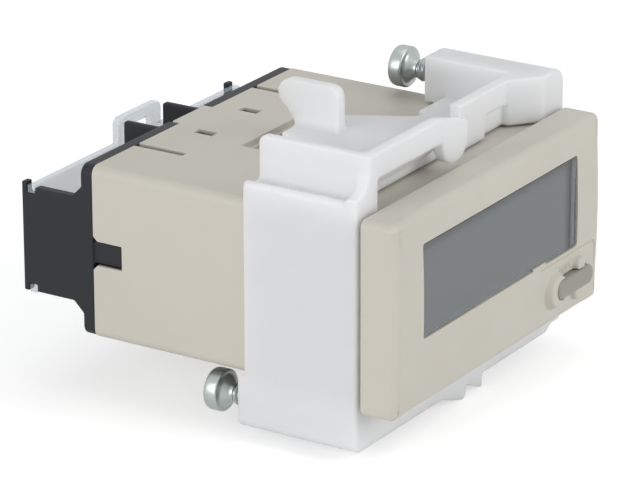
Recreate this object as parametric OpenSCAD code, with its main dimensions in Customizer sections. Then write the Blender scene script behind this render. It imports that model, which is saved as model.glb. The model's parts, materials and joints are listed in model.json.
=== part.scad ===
// Panel-mount hour meter with a sliding flush-mount adapter.
// Millimetres. X runs to the right of the front, Y from the front to the rear, Z up.
// The origin is the centre of the bezel's rear face, which seats on the panel.

/* [Case] */
// Width of the bezel
bezel_w = 48; // [44:0.5:60]
// Height of the bezel
bezel_h = 24; // [22:0.5:32]
// Depth of the bezel at its long edges
bezel_depth = 4.55; // [3.5:0.05:6]
// Rise of the crowned front above its long edges
bezel_crown = 0.45; // [0.2:0.05:0.8]
// Corner radius of the bezel seen from the front
bezel_corner_r = 0.9; // [0.4:0.1:2]
// Rounding of the front edges of the bezel
bezel_edge_r = 1.0; // [0.4:0.1:1.6]
// Overhang of the bezel past the body at each end
bezel_ledge_x = 1.6; // [1.2:0.1:2.4]
// Overhang of the bezel past the body above and below
bezel_ledge_z = 1.1; // [0.8:0.1:1.6]
// Length of the body behind the panel
body_len = 38.3; // [35:0.1:45]
// Radius of the long edges of the body
body_edge_r = 1.2; // [0.4:0.1:2]
// Wall thickness of the case
case_wall = 1.6; // [1.4:0.1:2]
// Thickness of the bezel's front wall at its long edges
front_wall = 1.55; // [1.5:0.05:2.2]

/* [Display] */
// Width of the window opening
window_w = 36.2; // [30:0.2:38]
// Height of the window opening
window_h = 11.6; // [9:0.1:12.4]
// Height of the window's centre above the middle of the front
window_z = 2.4; // [2:0.1:2.8]
// Corner radius of the window opening
window_r = 0.4; // [0.2:0.1:1]
// Depth of the window pane's face below the bezel's edge depth
window_recess = 0.1; // [0.05:0.05:0.4]
// Distance of the nib on the window's lower edge from the middle of the front
nib_x = 8.95; // [7:0.05:10]
// Length of the nib
nib_w = 3.1; // [2:0.1:4]
// Height of the nib above the window's lower edge
nib_h = 0.3; // [0.2:0.05:0.5]
// Clearance round the window pane in its opening
window_gap = 0.1; // [0.05:0.05:0.2]
// Lip of the window pane behind the opening
window_lip = 0.9; // [0.5:0.1:1.0]
// Thickness of the window pane's lip
pane_t = 0.8; // [0.7:0.1:1.4]
// Thickness of the display cell
lcd_t = 1.8; // [1.2:0.1:2.4]
// Depth of the display holder between the cell and the board
holder_depth = 3.4; // [2.8:0.1:4.5]
// Width of the display holder's ribs
holder_rim = 0.5; // [0.3:0.1:0.6]
// Clearance round the display in its pocket
display_gap = 0.1; // [0.05:0.05:0.15]
// Height of each contact strip
strip_h = 2.0; // [1.4:0.1:2.2]

/* [Reset key] */
// Distance of the key's centre from the right end of the bezel
key_inset = 7.4; // [7:0.1:8.5]
// Distance of the key's centre above the lower edge of the bezel
key_rise = 4.5; // [4.3:0.1:4.8]
// Width of the key
key_w = 8.4; // [6:0.1:8.8]
// Height of the key
key_h = 2.2; // [2:0.1:3]
// Height of the key's face above the crown of the front
key_proud = 0.85; // [0.75:0.05:1.5]
// Travel of the key
key_travel = 0.6; // [0.3:0.05:0.65]
// Clearance round the key in its opening
key_gap = 0.25; // [0.15:0.05:0.35]
// Width of the flange that keeps the key in the bezel
key_flange = 0.55; // [0.5:0.05:0.6]
// Thickness of the key's flange
key_flange_t = 0.9; // [0.6:0.1:1.2]
// Width of the raised guard above and below the key's opening
guard_w = 1.2; // [0.9:0.1:1.4]
// Reach of the guard past the end of the key's opening
guard_reach = 1.9; // [1.2:0.1:2.2]
// Height of the guard above the crown of the front
guard_rise = 0.7; // [0.4:0.05:0.7]
// Run of the guard's sloped outer side
guard_run = 0.7; // [0.3:0.05:0.8]
// Diameter of the lugs above and below the key at their foot
lug_d = 2.4; // [2:0.1:2.8]
// Distance of the lugs' centres from the edge of the key's opening
lug_rise = 0.5; // [0.3:0.05:0.6]
// Width of the moulded line between the window and the key
line_w = 0.3; // [0.2:0.05:0.4]
// Depth of the moulded line below the crown of the front
line_depth = 0.2; // [0.1:0.05:0.3]

/* [Boards and battery] */
// Thickness of the circuit boards
board_t = 1.6; // [1:0.1:1.8]
// Clearance between the boards and the case walls
board_gap = 0.4; // [0.3:0.05:0.8]
// Side of the processor chip
chip_w = 10; // [7:0.5:12]
// Thickness of the processor chip
chip_t = 1.5; // [1:0.1:2]
// Diameter of the crystal can
crystal_d = 3.0; // [2:0.1:3.2]
// Length of the crystal can
crystal_len = 8.0; // [6:0.5:9]
// Diameter of the battery
battery_d = 14.5; // [12:0.1:15]
// Length of the battery
battery_len = 25; // [20:0.5:27]
// Distance of the battery's axis behind the panel
battery_y = 19.5; // [18:0.1:20.5]
// Thickness of the battery cradle under the battery
cradle_floor = 0.9; // [0.6:0.1:1.2]
// Clearance of the battery in its cradle
cradle_gap = 0.05; // [0.02:0.01:0.2]
// Thickness of the battery's welded tabs
tab_t = 0.4; // [0.3:0.05:0.6]
// Height of the battery's welded tabs
tab_h = 3.0; // [2:0.1:4]
// Diameter of the wires between the boards
wire_d = 0.8; // [0.5:0.1:1]
// Pitch of the wires between the boards
wire_pitch = 1.6; // [1.2:0.1:2]

/* [Terminals] */
// Thickness of the terminal block's flange on the rear of the case
flange_t = 1.6; // [1.2:0.1:2]
// Depth of the terminal block's plug inside the case
plug_depth = 2.0; // [1.6:0.1:2.4]
// Clearance of the plug inside the case
plug_gap = 0.15; // [0.1:0.05:0.3]
// Distance of the block's rear end behind its flange
cheek_len = 8.6; // [8:0.1:10]
// Half height of the end cheeks
cheek_half_h = 6.65; // [6:0.05:7.5]
// Thickness of the end cheeks
cheek_t = 1.2; // [1:0.1:1.6]
// Thickness of the barriers between the terminals
barrier_t = 0.85; // [0.7:0.05:1.2]
// Length of the barriers behind the flange
barrier_len = 6.1; // [5.5:0.1:6.4]
// Half height of the two tall barriers
tall_half_h = 10.0; // [9:0.1:10.6]
// Distance of the tall barriers from the middle
tall_x = 4.2; // [3.8:0.05:4.2]
// Thickness of the raised floor under the terminal plates
floor_t = 1.0; // [0.6:0.1:1.2]
// Clearance of the terminal plates beside the barriers
plate_gap = 0.25; // [0.15:0.05:0.4]
// Thickness of the terminal plates
plate_t = 0.8; // [0.6:0.1:1]
// Thickness of the clamp washers
washer_t = 0.8; // [0.6:0.1:1]
// Thread diameter of the terminal screws
terminal_d = 3.5; // [3:0.1:4]
// Head diameter of the terminal screws
terminal_head_d = 6.6; // [6:0.1:7]
// Head height of the terminal screws
terminal_head_t = 2.2; // [1.8:0.1:2.4]
// Length of the terminal screws under the head
terminal_screw_len = 5.0; // [4.5:0.1:5.5]
// Clearance of the terminal screws in their holes
terminal_gap = 0.1; // [0.05:0.05:0.2]
// Width of the terminal legs
leg_w = 2.4; // [1.6:0.1:3]
// Distance of the terminal board in front of the case's rear
rear_board_y = 6.3; // [6:0.1:7]

/* [Terminal cover] */
// Thickness of the clear cover
cover_t = 1.0; // [0.8:0.05:1.2]
// Distance of the cover in front of the block's rear end
cover_inset = 0.8; // [0.6:0.05:1]
// Half height of the cover over the terminals
cover_half_h = 6.85; // [6.6:0.05:7]
// Half height of the cover's raised middle
cover_mid_half_h = 10.1; // [9.5:0.1:10.6]
// Half width of the cover's raised middle
cover_mid_x = 4.6; // [4.4:0.1:5]
// Depth of the cover's end notches in the cheeks
notch_depth = 1.1; // [0.8:0.1:1.5]
// Clearance of the cover in its notches
cover_gap = 0.1; // [0.05:0.05:0.2]
// Side of the opening over the range selector
cover_hole = 5.0; // [4:0.1:5.2]
// Diameter of the openings over the terminal screws
driver_hole_d = 5.0; // [4:0.1:5.5]

/* [Range selector] */
// Height of the selector above the middle
selector_z = 6.1; // [5.8:0.1:6.2]
// Width of the selector's knob
selector_w = 1.6; // [1.2:0.1:2]
// Height of the selector's knob
selector_h = 1.4; // [1:0.1:1.6]
// Travel of the selector to each side
selector_travel = 0.9; // [0.6:0.05:1]
// Clearance round the selector in its slot
selector_gap = 0.3; // [0.2:0.05:0.4]
// Length of the selector's knob behind the flange
selector_len = 1.2; // [0.8:0.1:1.2]

/* [Ratchet and latches] */
// Half width of the ratchet on the top and bottom of the body
ratchet_x = 6.8; // [6:0.1:8]
// Pitch of the ratchet teeth
ratchet_pitch = 1.2; // [1:0.05:1.4]
// Number of ratchet teeth
ratchet_teeth = 12; // [10:1:13]
// Depth of the ratchet's crests below the body's top
ratchet_recess = 0.3; // [0.2:0.05:0.35]
// Height of the ratchet teeth
tooth_h = 0.45; // [0.3:0.05:0.5]
// Clearance of the lifted pawl over the crests
pawl_gap = 0.25; // [0.2:0.05:0.3]
// Half width of the snap tongue in the case's top
snap_x = 12.4; // [11.5:0.1:13]
// Width of the slits beside the snap tongue
slit_w = 1.0; // [0.6:0.1:1.4]
// Length of the slits beside the snap tongue
slit_len = 6.9; // [5.5:0.1:8]
// Distance of the hook windows from the middle
hook_x = 4.9; // [4.5:0.1:6]
// Width of the hook windows
hook_w = 1.4; // [1.2:0.1:2]
// Length of the hook windows
hook_len = 2.6; // [2:0.1:3]
// Thickness of the hooks' arms under the case's top
hook_arm_t = 0.9; // [0.7:0.1:1.2]
// Clearance round the hooks and their arms
hook_gap = 0.15; // [0.1:0.05:0.2]
// Half width of the lip behind the snap tongue
snap_lip_x = 3.5; // [2.5:0.1:3.8]
// Length of the lip past the case's rear
snap_lip = 1.2; // [0.8:0.1:1.3]
// Chamfer at the mouth of the side notches
notch_chamfer = 0.6; // [0.3:0.05:0.8]
// Half height of the side latches
latch_half_h = 1.5; // [1:0.1:2]
// Length of the side latches
latch_len = 4.1; // [3:0.1:5]

/* [Adapter] */
// Sliding clearance between the adapter and the body
adapter_gap = 0.3; // [0.2:0.05:0.5]
// Wall thickness of the adapter
adapter_wall = 1.3; // [1:0.1:1.6]
// Distance of the adapter's front behind the panel face
adapter_front = 0.5; // [0.4:0.1:1]
// Distance of the adapter's side walls' rear behind the panel face
wall_rear = 15.9; // [15:0.1:17]
// Distance of the ears' rear behind the panel face
ear_rear = 16.9; // [16:0.1:18]
// Height of an ear over the body's clearance
ear_h = 5.8; // [5.4:0.1:6.3]
// Width of an ear
ear_w = 5.8; // [5.4:0.1:6.5]
// Rounding of the ears' outer edges
ear_r = 1.9; // [1:0.1:2]
// Height of the upper front bar over the body's clearance
bar_rise = 7.5; // [6.8:0.1:8.3]
// Thickness of the front bars
bar_t = 1.5; // [1.2:0.1:1.8]
// Distance of the fin's face from the side wall's face
fin_inset = 2.8; // [2.4:0.1:3.2]
// Travel of the adapter along the body
adapter_travel = 4.4; // [2:0.1:4.4]
// Distance of the latch tongue's rear end behind the panel face
tongue_rear = 23.4; // [23:0.1:23.8]
// Half width of the latch tongue at its rear end
tongue_tip_x = 4.6; // [4.2:0.1:5.5]
// Half width of the latch tongue at its root
tongue_root_x = 9.8; // [8:0.1:11]
// Distance of the deck's rear edge behind the panel face
deck_rear = 13.7; // [13:0.1:14.5]
// Height of the lower right fin over the body's clearance
low_fin_rise = 5.2; // [4.4:0.1:5.6]
// Length of the release tab along the tongue
tab_len = 6.0; // [5:0.1:7]
// Lean of the release tab's top to the rear
tab_lean = 2.6; // [2:0.1:3]
// Fillet at the foot of the release tab
tab_fillet = 1.2; // [0.8:0.1:1.5]
// Height of the release tab above the tongue
tab_rise = 5.6; // [4:0.1:7]
// Thickness of the release tab
tab_thick = 1.6; // [1.2:0.1:2.5]

/* [Clamp screws] */
// Distance of the clamp screws inside the adapter's sides
clamp_inset_x = 3.2; // [3:0.1:3.4]
// Distance of the clamp screws inside the ears' outer faces
clamp_inset_z = 2.7; // [2.5:0.1:2.8]
// Thread diameter of the clamp screws
clamp_d = 3.0; // [2.5:0.1:3.2]
// Wall left in front of the clamp screws' bores
clamp_web = 1.5; // [1:0.1:2]
// Diameter of the neck under the clamp screws' heads
clamp_neck_d = 2.3; // [2:0.1:2.4]
// Length of the flare and the neck under the clamp screws' heads
clamp_neck_len = 1.4; // [1.2:0.1:1.6]
// Diameter of the flare under the clamp screws' heads
clamp_flare_d = 4.0; // [3.6:0.1:4.4]
// Head diameter of the clamp screws
clamp_head_d = 5.2; // [5:0.1:6]
// Head height of the clamp screws
clamp_head_t = 2.2; // [1.8:0.1:2.6]
// Radial clearance of the clamp screws in the ears
clamp_gap = 0.05; // [0.02:0.01:0.1]
// Travel of the clamp screws
clamp_travel = 3.2; // [2:0.1:3.2]
// Gap left under the head when a clamp screw is home
clamp_seat_gap = 0.3; // [0.2:0.05:0.5]

/* [Hidden] */
$fn = 48;
// Overrun of every cut past the face that it opens
cut = 1;

front_y = -bezel_depth - bezel_crown;
wall_back_y = front_wall - bezel_depth;
crown_r = (pow(bezel_h / 2, 2) + pow(bezel_crown, 2)) / (2 * bezel_crown);
body_w = bezel_w - 2 * bezel_ledge_x;
body_h = bezel_h - 2 * bezel_ledge_z;
body_x = body_w / 2;
body_z = body_h / 2;
cavity_x = body_x - case_wall;
cavity_z = body_z - case_wall;
cavity_r = 0.6;

pane_front_y = window_recess - bezel_depth;
pane_back_y = wall_back_y + pane_t;
lip_w = window_w + 2 * window_lip;
lip_h = window_h + 2 * window_lip;
cell_back_y = pane_back_y + lcd_t;
board_front_y = cell_back_y + holder_depth;
board_back_y = board_front_y + board_t;
strip_z = lip_h / 2 - holder_rim - strip_h / 2;

key_x = bezel_w / 2 - key_inset;
key_z = key_rise - bezel_h / 2;
key_face_y = front_y - key_proud;
key_stop_gap = 0.15;
key_flange_y = wall_back_y + key_stop_gap;
pocket_gap = 0.2;
stem_d = 2.4;
stem_len = 1.6;
stem_end_y = key_flange_y + key_flange_t + stem_len;
switch_touch_gap = 0.1;
switch_front_y = stem_end_y + key_travel + switch_touch_gap;
plunger_len = 0.5;
plunger_d = 2.0;

battery_z = cradle_floor + battery_d / 2 - cavity_z;
rear_board_front = body_len - rear_board_y;
rear_board_back = rear_board_front + board_t;
plug_front_y = body_len - plug_depth;
hook_arm_z = cavity_z - plug_gap - hook_arm_t;
hook_setback = 1;
hook_front_y = body_len - slit_len + hook_setback;
flange_back_y = body_len + flange_t;
floor_back_y = flange_back_y + floor_t;
plate_back_y = floor_back_y + plate_t;
washer_back_y = plate_back_y + washer_t;
block_rear_y = flange_back_y + cheek_len;
cover_back_y = block_rear_y - cover_inset;
cover_front_y = cover_back_y - cover_t;
bay_pitch = (body_x - cheek_t + barrier_t / 2 - tall_x) / 2;
low_x = tall_x + bay_pitch;
plate_w = bay_pitch - barrier_t - 2 * plate_gap;
inner_screw_x = tall_x + bay_pitch / 2;
outer_screw_x = low_x + bay_pitch / 2;
screw_xs = [-outer_screw_x, -inner_screw_x, inner_screw_x, outer_screw_x];
leg_clear = 0.05;
leg_z = -terminal_d / 2 - terminal_gap - leg_clear - plate_t / 2;
leg_stub = 0.8;
leg_end_y = rear_board_front - leg_stub;
leg_slot_gap = 0.05;

inner_x = body_x + adapter_gap;
inner_z = body_z + adapter_gap;
outer_x = inner_x + adapter_wall;
deck_z = inner_z + adapter_wall;
ear_half_h = inner_z + ear_h;
bar_half_h = inner_z + bar_rise;
low_fin_half_h = inner_z + low_fin_rise;
shoulder_rise = 0.6;
shoulder_z = deck_z + shoulder_rise;
ear_inner_x = outer_x - ear_w;
fin_x = outer_x - fin_inset;
crest_z = body_z - ratchet_recess;
valley_z = crest_z - tooth_h;
pawl_tip_z = crest_z + pawl_gap;
pawl_setback = 1.4;
pawl_y = tongue_rear - pawl_setback;
pawl_ramp = 0.6;
pawl_heel = 0.8;
ratchet_margin = 0.2;
ratchet_rear = pawl_y + pawl_heel + adapter_travel + ratchet_margin;
clamp_x = outer_x - clamp_inset_x;
clamp_z = ear_half_h - clamp_inset_z;
clamp_seat_y = ear_rear + clamp_travel + clamp_seat_gap;
clamp_bore_y = adapter_front + clamp_web;
clamp_tip_gap = 0.2;
clamp_flare_len = 1.0;
clamp_len = clamp_seat_y - clamp_travel - clamp_bore_y - clamp_tip_gap;
selector_wall = 0.8;
selector_clear = 0.3;

// A profile drawn in X and Z, swept along Y
module sweep_y(y0, y1) {
  translate([0, y1, 0]) rotate([90, 0, 0]) linear_extrude(height = y1 - y0) children();
}

// A profile drawn in Y and Z, swept along X
module sweep_x(x0, x1) {
  translate([x0, 0, 0]) rotate([90, 0, 90]) linear_extrude(height = x1 - x0) children();
}

// A profile drawn in X and Y, swept along Z
module sweep_z(z0, z1) {
  translate([0, 0, z0]) linear_extrude(height = z1 - z0) children();
}

// A box between two corners
module block(low, high) {
  translate(low) cube(high - low);
}

// A rectangle with round corners, centred
module round_rect(w, h, r) {
  square([w - 2 * r, h], center = true);
  square([w, h - 2 * r], center = true);
  for (sx = [-1, 1], sz = [-1, 1])
    translate([sx * (w / 2 - r), sz * (h / 2 - r)]) circle(r);
}

// A slot shape with full round ends, centred
module stadium(w, h) {
  square([w - h, h], center = true);
  for (sx = [-1, 1]) translate([sx * (w - h) / 2, 0]) circle(d = h);
}

// A round bar along Y
module rod_y(x, z, y0, y1, d) {
  translate([x, y0, z]) rotate([-90, 0, 0]) cylinder(h = y1 - y0, d = d);
}

// A round bar along X
module rod_x(y, z, x0, x1, d) {
  translate([x0, y, z]) rotate([0, 90, 0]) cylinder(h = x1 - x0, d = d);
}

// The front of the bezel: a crowned block whose long edges are rounded into the crown
module bezel_form() {
  crown_y = front_y + crown_r;
  round_z = bezel_h / 2 - bezel_edge_r;
  round_y = crown_y - sqrt(pow(crown_r - bezel_edge_r, 2) - pow(round_z, 2));
  touch_z = round_z * crown_r / (crown_r - bezel_edge_r);
  intersection() {
    sweep_y(front_y, 0) round_rect(bezel_w, bezel_h, bezel_corner_r);
    sweep_x(-bezel_w / 2, bezel_w / 2) {
      intersection() {
        translate([crown_y, 0]) circle(crown_r, $fn = 720);
        translate([front_y, -touch_z]) square([-front_y, 2 * touch_z]);
      }
      translate([round_y, -bezel_h / 2]) square([-round_y, bezel_h]);
      for (sz = [-1, 1]) translate([round_y, sz * round_z]) circle(bezel_edge_r);
    }
    sweep_z(-bezel_h / 2, bezel_h / 2) round_rect(bezel_w, -2 * front_y, bezel_edge_r);
  }
}

// A round boss with sloped sides that rises from the bezel's edge depth past the crown
module boss(x, z, foot_r, slope, rise) {
  translate([x, -bezel_depth, z]) rotate([90, 0, 0])
    cylinder(h = bezel_crown + rise, r1 = foot_r, r2 = foot_r - slope);
}

// The raised crescent that guards the inner end of the key, and the lugs above and below the key
module key_guard() {
  opening_r = key_h / 2 + key_gap;
  guard_r = opening_r + guard_w;
  guard_left = -key_w / 2 - key_gap - guard_reach;
  arm_len = 1.65;
  arm_end = arm_len - key_w / 2;
  lug_x = 1.6;
  lug_slope = 0.4;
  lug_z = opening_r + lug_rise;
  low_rise = guard_rise / 2;
  translate([key_x, 0, key_z]) {
    intersection() {
      boss(guard_left + guard_r, 0, guard_r, guard_run, guard_rise);
      block([guard_left, front_y - guard_rise, -guard_r], [arm_end, -bezel_depth, guard_r]);
    }
    boss(lug_x, lug_z, lug_d / 2, lug_slope, guard_rise);
    boss(lug_x, -lug_z, lug_d / 2, lug_slope, low_rise);
  }
}

// The window opening seen from the front, with or without the nib on its lower edge
module window_outline(nib) {
  translate([0, window_z]) difference() {
    round_rect(window_w, window_h, window_r);
    if (nib) translate([nib_x - nib_w / 2, -window_h / 2 - cut]) square([nib_w, nib_h + cut]);
  }
}

// The moulded line that runs under the window and turns down beside the key
module panel_line() {
  line_drop = 0.45;
  line_inset = 0.5;
  line_z = window_z - window_h / 2 - line_drop;
  line_left = key_x - key_w / 2 - key_gap - guard_reach - 2 * line_inset;
  line_right = bezel_w / 2 - bezel_edge_r - line_inset;
  line_low = key_z + key_h / 4;
  turn_r = 1.0;
  sweep_y(front_y - cut, front_y + line_depth) {
    translate([line_left, line_z - line_w / 2]) square([line_right - turn_r - line_left, line_w]);
    translate([line_right - line_w / 2, line_low]) square([line_w, line_z - turn_r - line_low]);
    translate([line_right - turn_r, line_z - turn_r]) intersection() {
      difference() {
        circle(turn_r + line_w / 2);
        circle(turn_r - line_w / 2);
      }
      square(turn_r + line_w);
    }
  }
}

// The saw-tooth trench for one ratchet, cut from above
module ratchet_trench() {
  ratchet_front = ratchet_rear - ratchet_teeth * ratchet_pitch;
  sweep_x(-ratchet_x, ratchet_x) polygon(concat(
    [[ratchet_front, body_z + cut]],
    [for (i = [0 : ratchet_teeth - 1]) each [
      [ratchet_front + i * ratchet_pitch, crest_z],
      [ratchet_front + (i + 1) * ratchet_pitch, valley_z]
    ]],
    [[ratchet_rear, body_z + cut]]
  ));
}

// The slits and hook windows of the snap tongue in the case's top
module snap_cuts() {
  for (sx = [-1, 1]) {
    slit_start = sx > 0 ? snap_x : -snap_x - slit_w;
    block([slit_start, body_len - slit_len, cavity_z - cut],
          [slit_start + slit_w, body_len + cut, body_z + cut]);
    block([sx * hook_x - hook_w / 2, hook_front_y, cavity_z - cut],
          [sx * hook_x + hook_w / 2, hook_front_y + hook_len, body_z + cut]);
  }
}

// The notch in one side of the case's rear edge, chamfered at its mouth
module side_notch() {
  notch_front = body_len - latch_len;
  mouth_y = body_len - notch_chamfer;
  mouth_h = latch_half_h + notch_chamfer + cut;
  sweep_x(cavity_x - cut, body_x + cut) polygon([
    [notch_front, -latch_half_h], [mouth_y, -latch_half_h], [body_len + cut, -mouth_h],
    [body_len + cut, mouth_h], [mouth_y, latch_half_h], [notch_front, latch_half_h]
  ]);
}

module case() {
  color([0.79, 0.77, 0.72]) difference() {
    union() {
      bezel_form();
      sweep_y(-bezel_depth / 2, body_len) round_rect(body_w, body_h, body_edge_r);
      key_guard();
      block([-snap_lip_x, body_len - cut, cavity_z], [snap_lip_x, body_len + snap_lip, body_z]);
    }
    sweep_y(wall_back_y, body_len + cut) round_rect(2 * cavity_x, 2 * cavity_z, cavity_r);
    sweep_y(wall_back_y, board_front_y) translate([0, window_z])
      square([lip_w + 2 * (holder_rim + display_gap), lip_h + 2 * display_gap], center = true);
    sweep_y(front_y - cut, pane_front_y) window_outline(true);
    sweep_y(pane_front_y - window_gap, wall_back_y + cut) window_outline(false);
    panel_line();
    sweep_y(front_y - cut, wall_back_y + cut) translate([key_x, key_z])
      stadium(key_w + 2 * key_gap, key_h + 2 * key_gap);
    sweep_y(wall_back_y, -pocket_gap) translate([key_x, key_z])
      stadium(key_w + 2 * (key_flange + pocket_gap), key_h + 2 * (key_flange + pocket_gap));
    ratchet_trench();
    mirror([0, 0, 1]) ratchet_trench();
    snap_cuts();
    side_notch();
    mirror([1, 0, 0]) side_notch();
  }
}

module display_window() {
  color([0.82, 0.85, 0.86, 0.4]) translate([0, 0, window_z]) {
    sweep_y(wall_back_y, pane_back_y) round_rect(lip_w, lip_h, window_r);
    sweep_y(pane_front_y, pane_back_y)
      round_rect(window_w - 2 * window_gap, window_h - 2 * window_gap, window_r - window_gap);
  }
}

module display_cell() {
  color([0.5, 0.53, 0.53]) translate([0, 0, window_z]) {
    cell_mid = (pane_back_y + cell_back_y) / 2;
    sweep_y(pane_back_y, cell_mid) square([lip_w, lip_h], center = true);
    sweep_y(cell_mid, cell_back_y) square([lip_w, lip_h - 2 * holder_rim], center = true);
  }
}

module display_holder() {
  color([0.86, 0.86, 0.84]) translate([0, 0, window_z]) sweep_y(cell_back_y, board_front_y) difference() {
    square([lip_w + 2 * holder_rim, lip_h], center = true);
    for (sz = [-1, 1]) translate([0, sz * strip_z]) square([window_w, strip_h], center = true);
    square([window_w, 2 * strip_z - strip_h - 2 * holder_rim], center = true);
  }
}

module contact_strips() {
  color([0.75, 0.55, 0.5]) translate([0, 0, window_z]) for (sz = [-1, 1])
    sweep_y(cell_back_y, board_front_y) translate([0, sz * strip_z])
      square([window_w, strip_h], center = true);
}

module main_board() {
  color([0.18, 0.4, 0.25]) sweep_y(board_front_y, board_back_y)
    square([2 * (cavity_x - board_gap), 2 * (cavity_z - board_gap)], center = true);
}

module processor_chip() {
  chip_x = -6;
  color([0.1, 0.1, 0.11]) sweep_y(board_back_y, board_back_y + chip_t)
    translate([chip_x, 0]) square(chip_w, center = true);
}

module crystal() {
  crystal_x = 4;
  crystal_z = 4.5;
  color([0.75, 0.76, 0.78])
    rod_x(board_back_y + crystal_d / 2, crystal_z, crystal_x, crystal_x + crystal_len, crystal_d);
}

module key_switch() {
  switch_w = 6.0;
  switch_h = 2.4;
  color([0.13, 0.13, 0.14]) {
    sweep_y(switch_front_y + plunger_len, board_front_y) translate([key_x, key_z])
      square([switch_w, switch_h], center = true);
    rod_y(key_x, key_z, switch_front_y, switch_front_y + plunger_len, plunger_d);
  }
}

module reset_key() {
  color([0.57, 0.56, 0.5]) {
    sweep_y(key_face_y, key_flange_y) translate([key_x, key_z]) stadium(key_w, key_h);
    sweep_y(key_flange_y, key_flange_y + key_flange_t) translate([key_x, key_z])
      stadium(key_w + 2 * key_flange, key_h + 2 * key_flange);
    rod_y(key_x, key_z, key_flange_y + key_flange_t, stem_end_y, stem_d);
  }
}

module battery() {
  color([0.35, 0.5, 0.6]) rod_x(battery_y, battery_z, -battery_len / 2, battery_len / 2, battery_d);
}

module battery_cradle() {
  cradle_side = 0.7;
  cradle_inset = 2.5;
  cradle_drop = 2.9;
  cradle_half = battery_d / 2 + cradle_side;
  cradle_len = battery_len - 2 * cradle_inset;
  cradle_top = battery_z - cradle_drop;
  color([0.2, 0.2, 0.21]) difference() {
    block([-cradle_len / 2, battery_y - cradle_half, -cavity_z],
          [cradle_len / 2, battery_y + cradle_half, cradle_top]);
    rod_x(battery_y, battery_z, -battery_len, battery_len, battery_d + 2 * cradle_gap);
  }
}

module battery_tabs() {
  color([0.78, 0.78, 0.76]) for (sx = [-1, 1]) mirror([sx < 0 ? 1 : 0, 0, 0])
    block([battery_len / 2, board_back_y, battery_z - tab_h / 2],
          [battery_len / 2 + tab_t, battery_y + tab_h, battery_z + tab_h / 2]);
}

module link_wires() {
  wire_z = cavity_z - board_gap - wire_pitch;
  color([0.72, 0.45, 0.3]) for (i = [0 : 3])
    rod_y(cavity_x - board_gap - (i + 1) * wire_pitch, wire_z, board_back_y, rear_board_front, wire_d);
}

// The row of slots that the terminal legs pass through
module leg_slots(y0, y1) {
  for (x = screw_xs)
    block([x - leg_w / 2 - leg_slot_gap, y0, leg_z - plate_t / 2 - leg_slot_gap],
          [x + leg_w / 2 + leg_slot_gap, y1, leg_z + plate_t / 2 + leg_slot_gap]);
}

module rear_board() {
  color([0.18, 0.4, 0.25]) difference() {
    sweep_y(rear_board_front, rear_board_back)
      square([2 * (cavity_x - board_gap), 2 * (cavity_z - board_gap)], center = true);
    leg_slots(rear_board_front - cut, rear_board_back + cut);
    for (sx = [-1, 1])
      block([sx * hook_x - hook_w / 2, rear_board_front - cut, hook_arm_z - hook_gap],
            [sx * hook_x + hook_w / 2, rear_board_back + cut, cavity_z]);
  }
}

// One end cheek: a profile with chamfers to the flange and a notch for the cover
module end_cheek() {
  foot = 1.35;
  post = 0.55;
  notch_front = cover_front_y - cover_gap;
  notch_back = cover_back_y + cover_gap;
  sweep_x(body_x - cheek_t, body_x) difference() {
    polygon([
      [flange_back_y - flange_t, -cheek_half_h - foot], [flange_back_y, -cheek_half_h - foot],
      [flange_back_y + foot, -cheek_half_h], [notch_front, -cheek_half_h],
      [notch_front, -cheek_half_h - post], [block_rear_y - post, -cheek_half_h - post],
      [block_rear_y, -cheek_half_h],
      [block_rear_y, cheek_half_h], [block_rear_y - post, cheek_half_h + post],
      [notch_front, cheek_half_h + post], [notch_front, cheek_half_h],
      [flange_back_y + foot, cheek_half_h], [flange_back_y, cheek_half_h + foot],
      [flange_back_y - flange_t, cheek_half_h + foot]
    ]);
    for (sz = [-1, 1]) mirror([0, sz < 0 ? 1 : 0])
      translate([notch_front, cover_half_h - notch_depth])
        square([notch_back - notch_front, notch_depth + cut]);
  }
}

// One latch tab that snaps into the case's side notch, with its lead-in
module side_latch() {
  tab_gap = 0.15;
  tab_sink = 0.35;
  block([cavity_x - plug_gap - cut, body_len - latch_len + tab_gap, tab_gap - latch_half_h],
        [body_x - tab_sink, body_len, latch_half_h - tab_gap]);
}

// One hook with its ramped nose in the case's top window
module top_hook(x) {
  hook_sink = 0.3;
  ramp_drop = 0.6;
  nose_front = hook_front_y + hook_gap;
  nose_rear = hook_front_y + hook_len - hook_gap;
  arm_top_z = cavity_z - plug_gap;
  sweep_x(x - hook_w / 2 + hook_gap, x + hook_w / 2 - hook_gap) polygon([
    [nose_front, hook_arm_z], [body_len, hook_arm_z], [body_len, arm_top_z], [nose_rear, arm_top_z],
    [nose_rear, body_z - hook_sink], [nose_front, body_z - hook_sink - ramp_drop]
  ]);
}

// One barrier between the terminals, with rounded rear corners
module barrier(x, half_h) {
  barrier_r = 0.4;
  sweep_x(x - barrier_t / 2, x + barrier_t / 2) translate([flange_back_y + (barrier_len - cut) / 2, 0])
    round_rect(barrier_len + cut, 2 * half_h, barrier_r);
}

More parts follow.
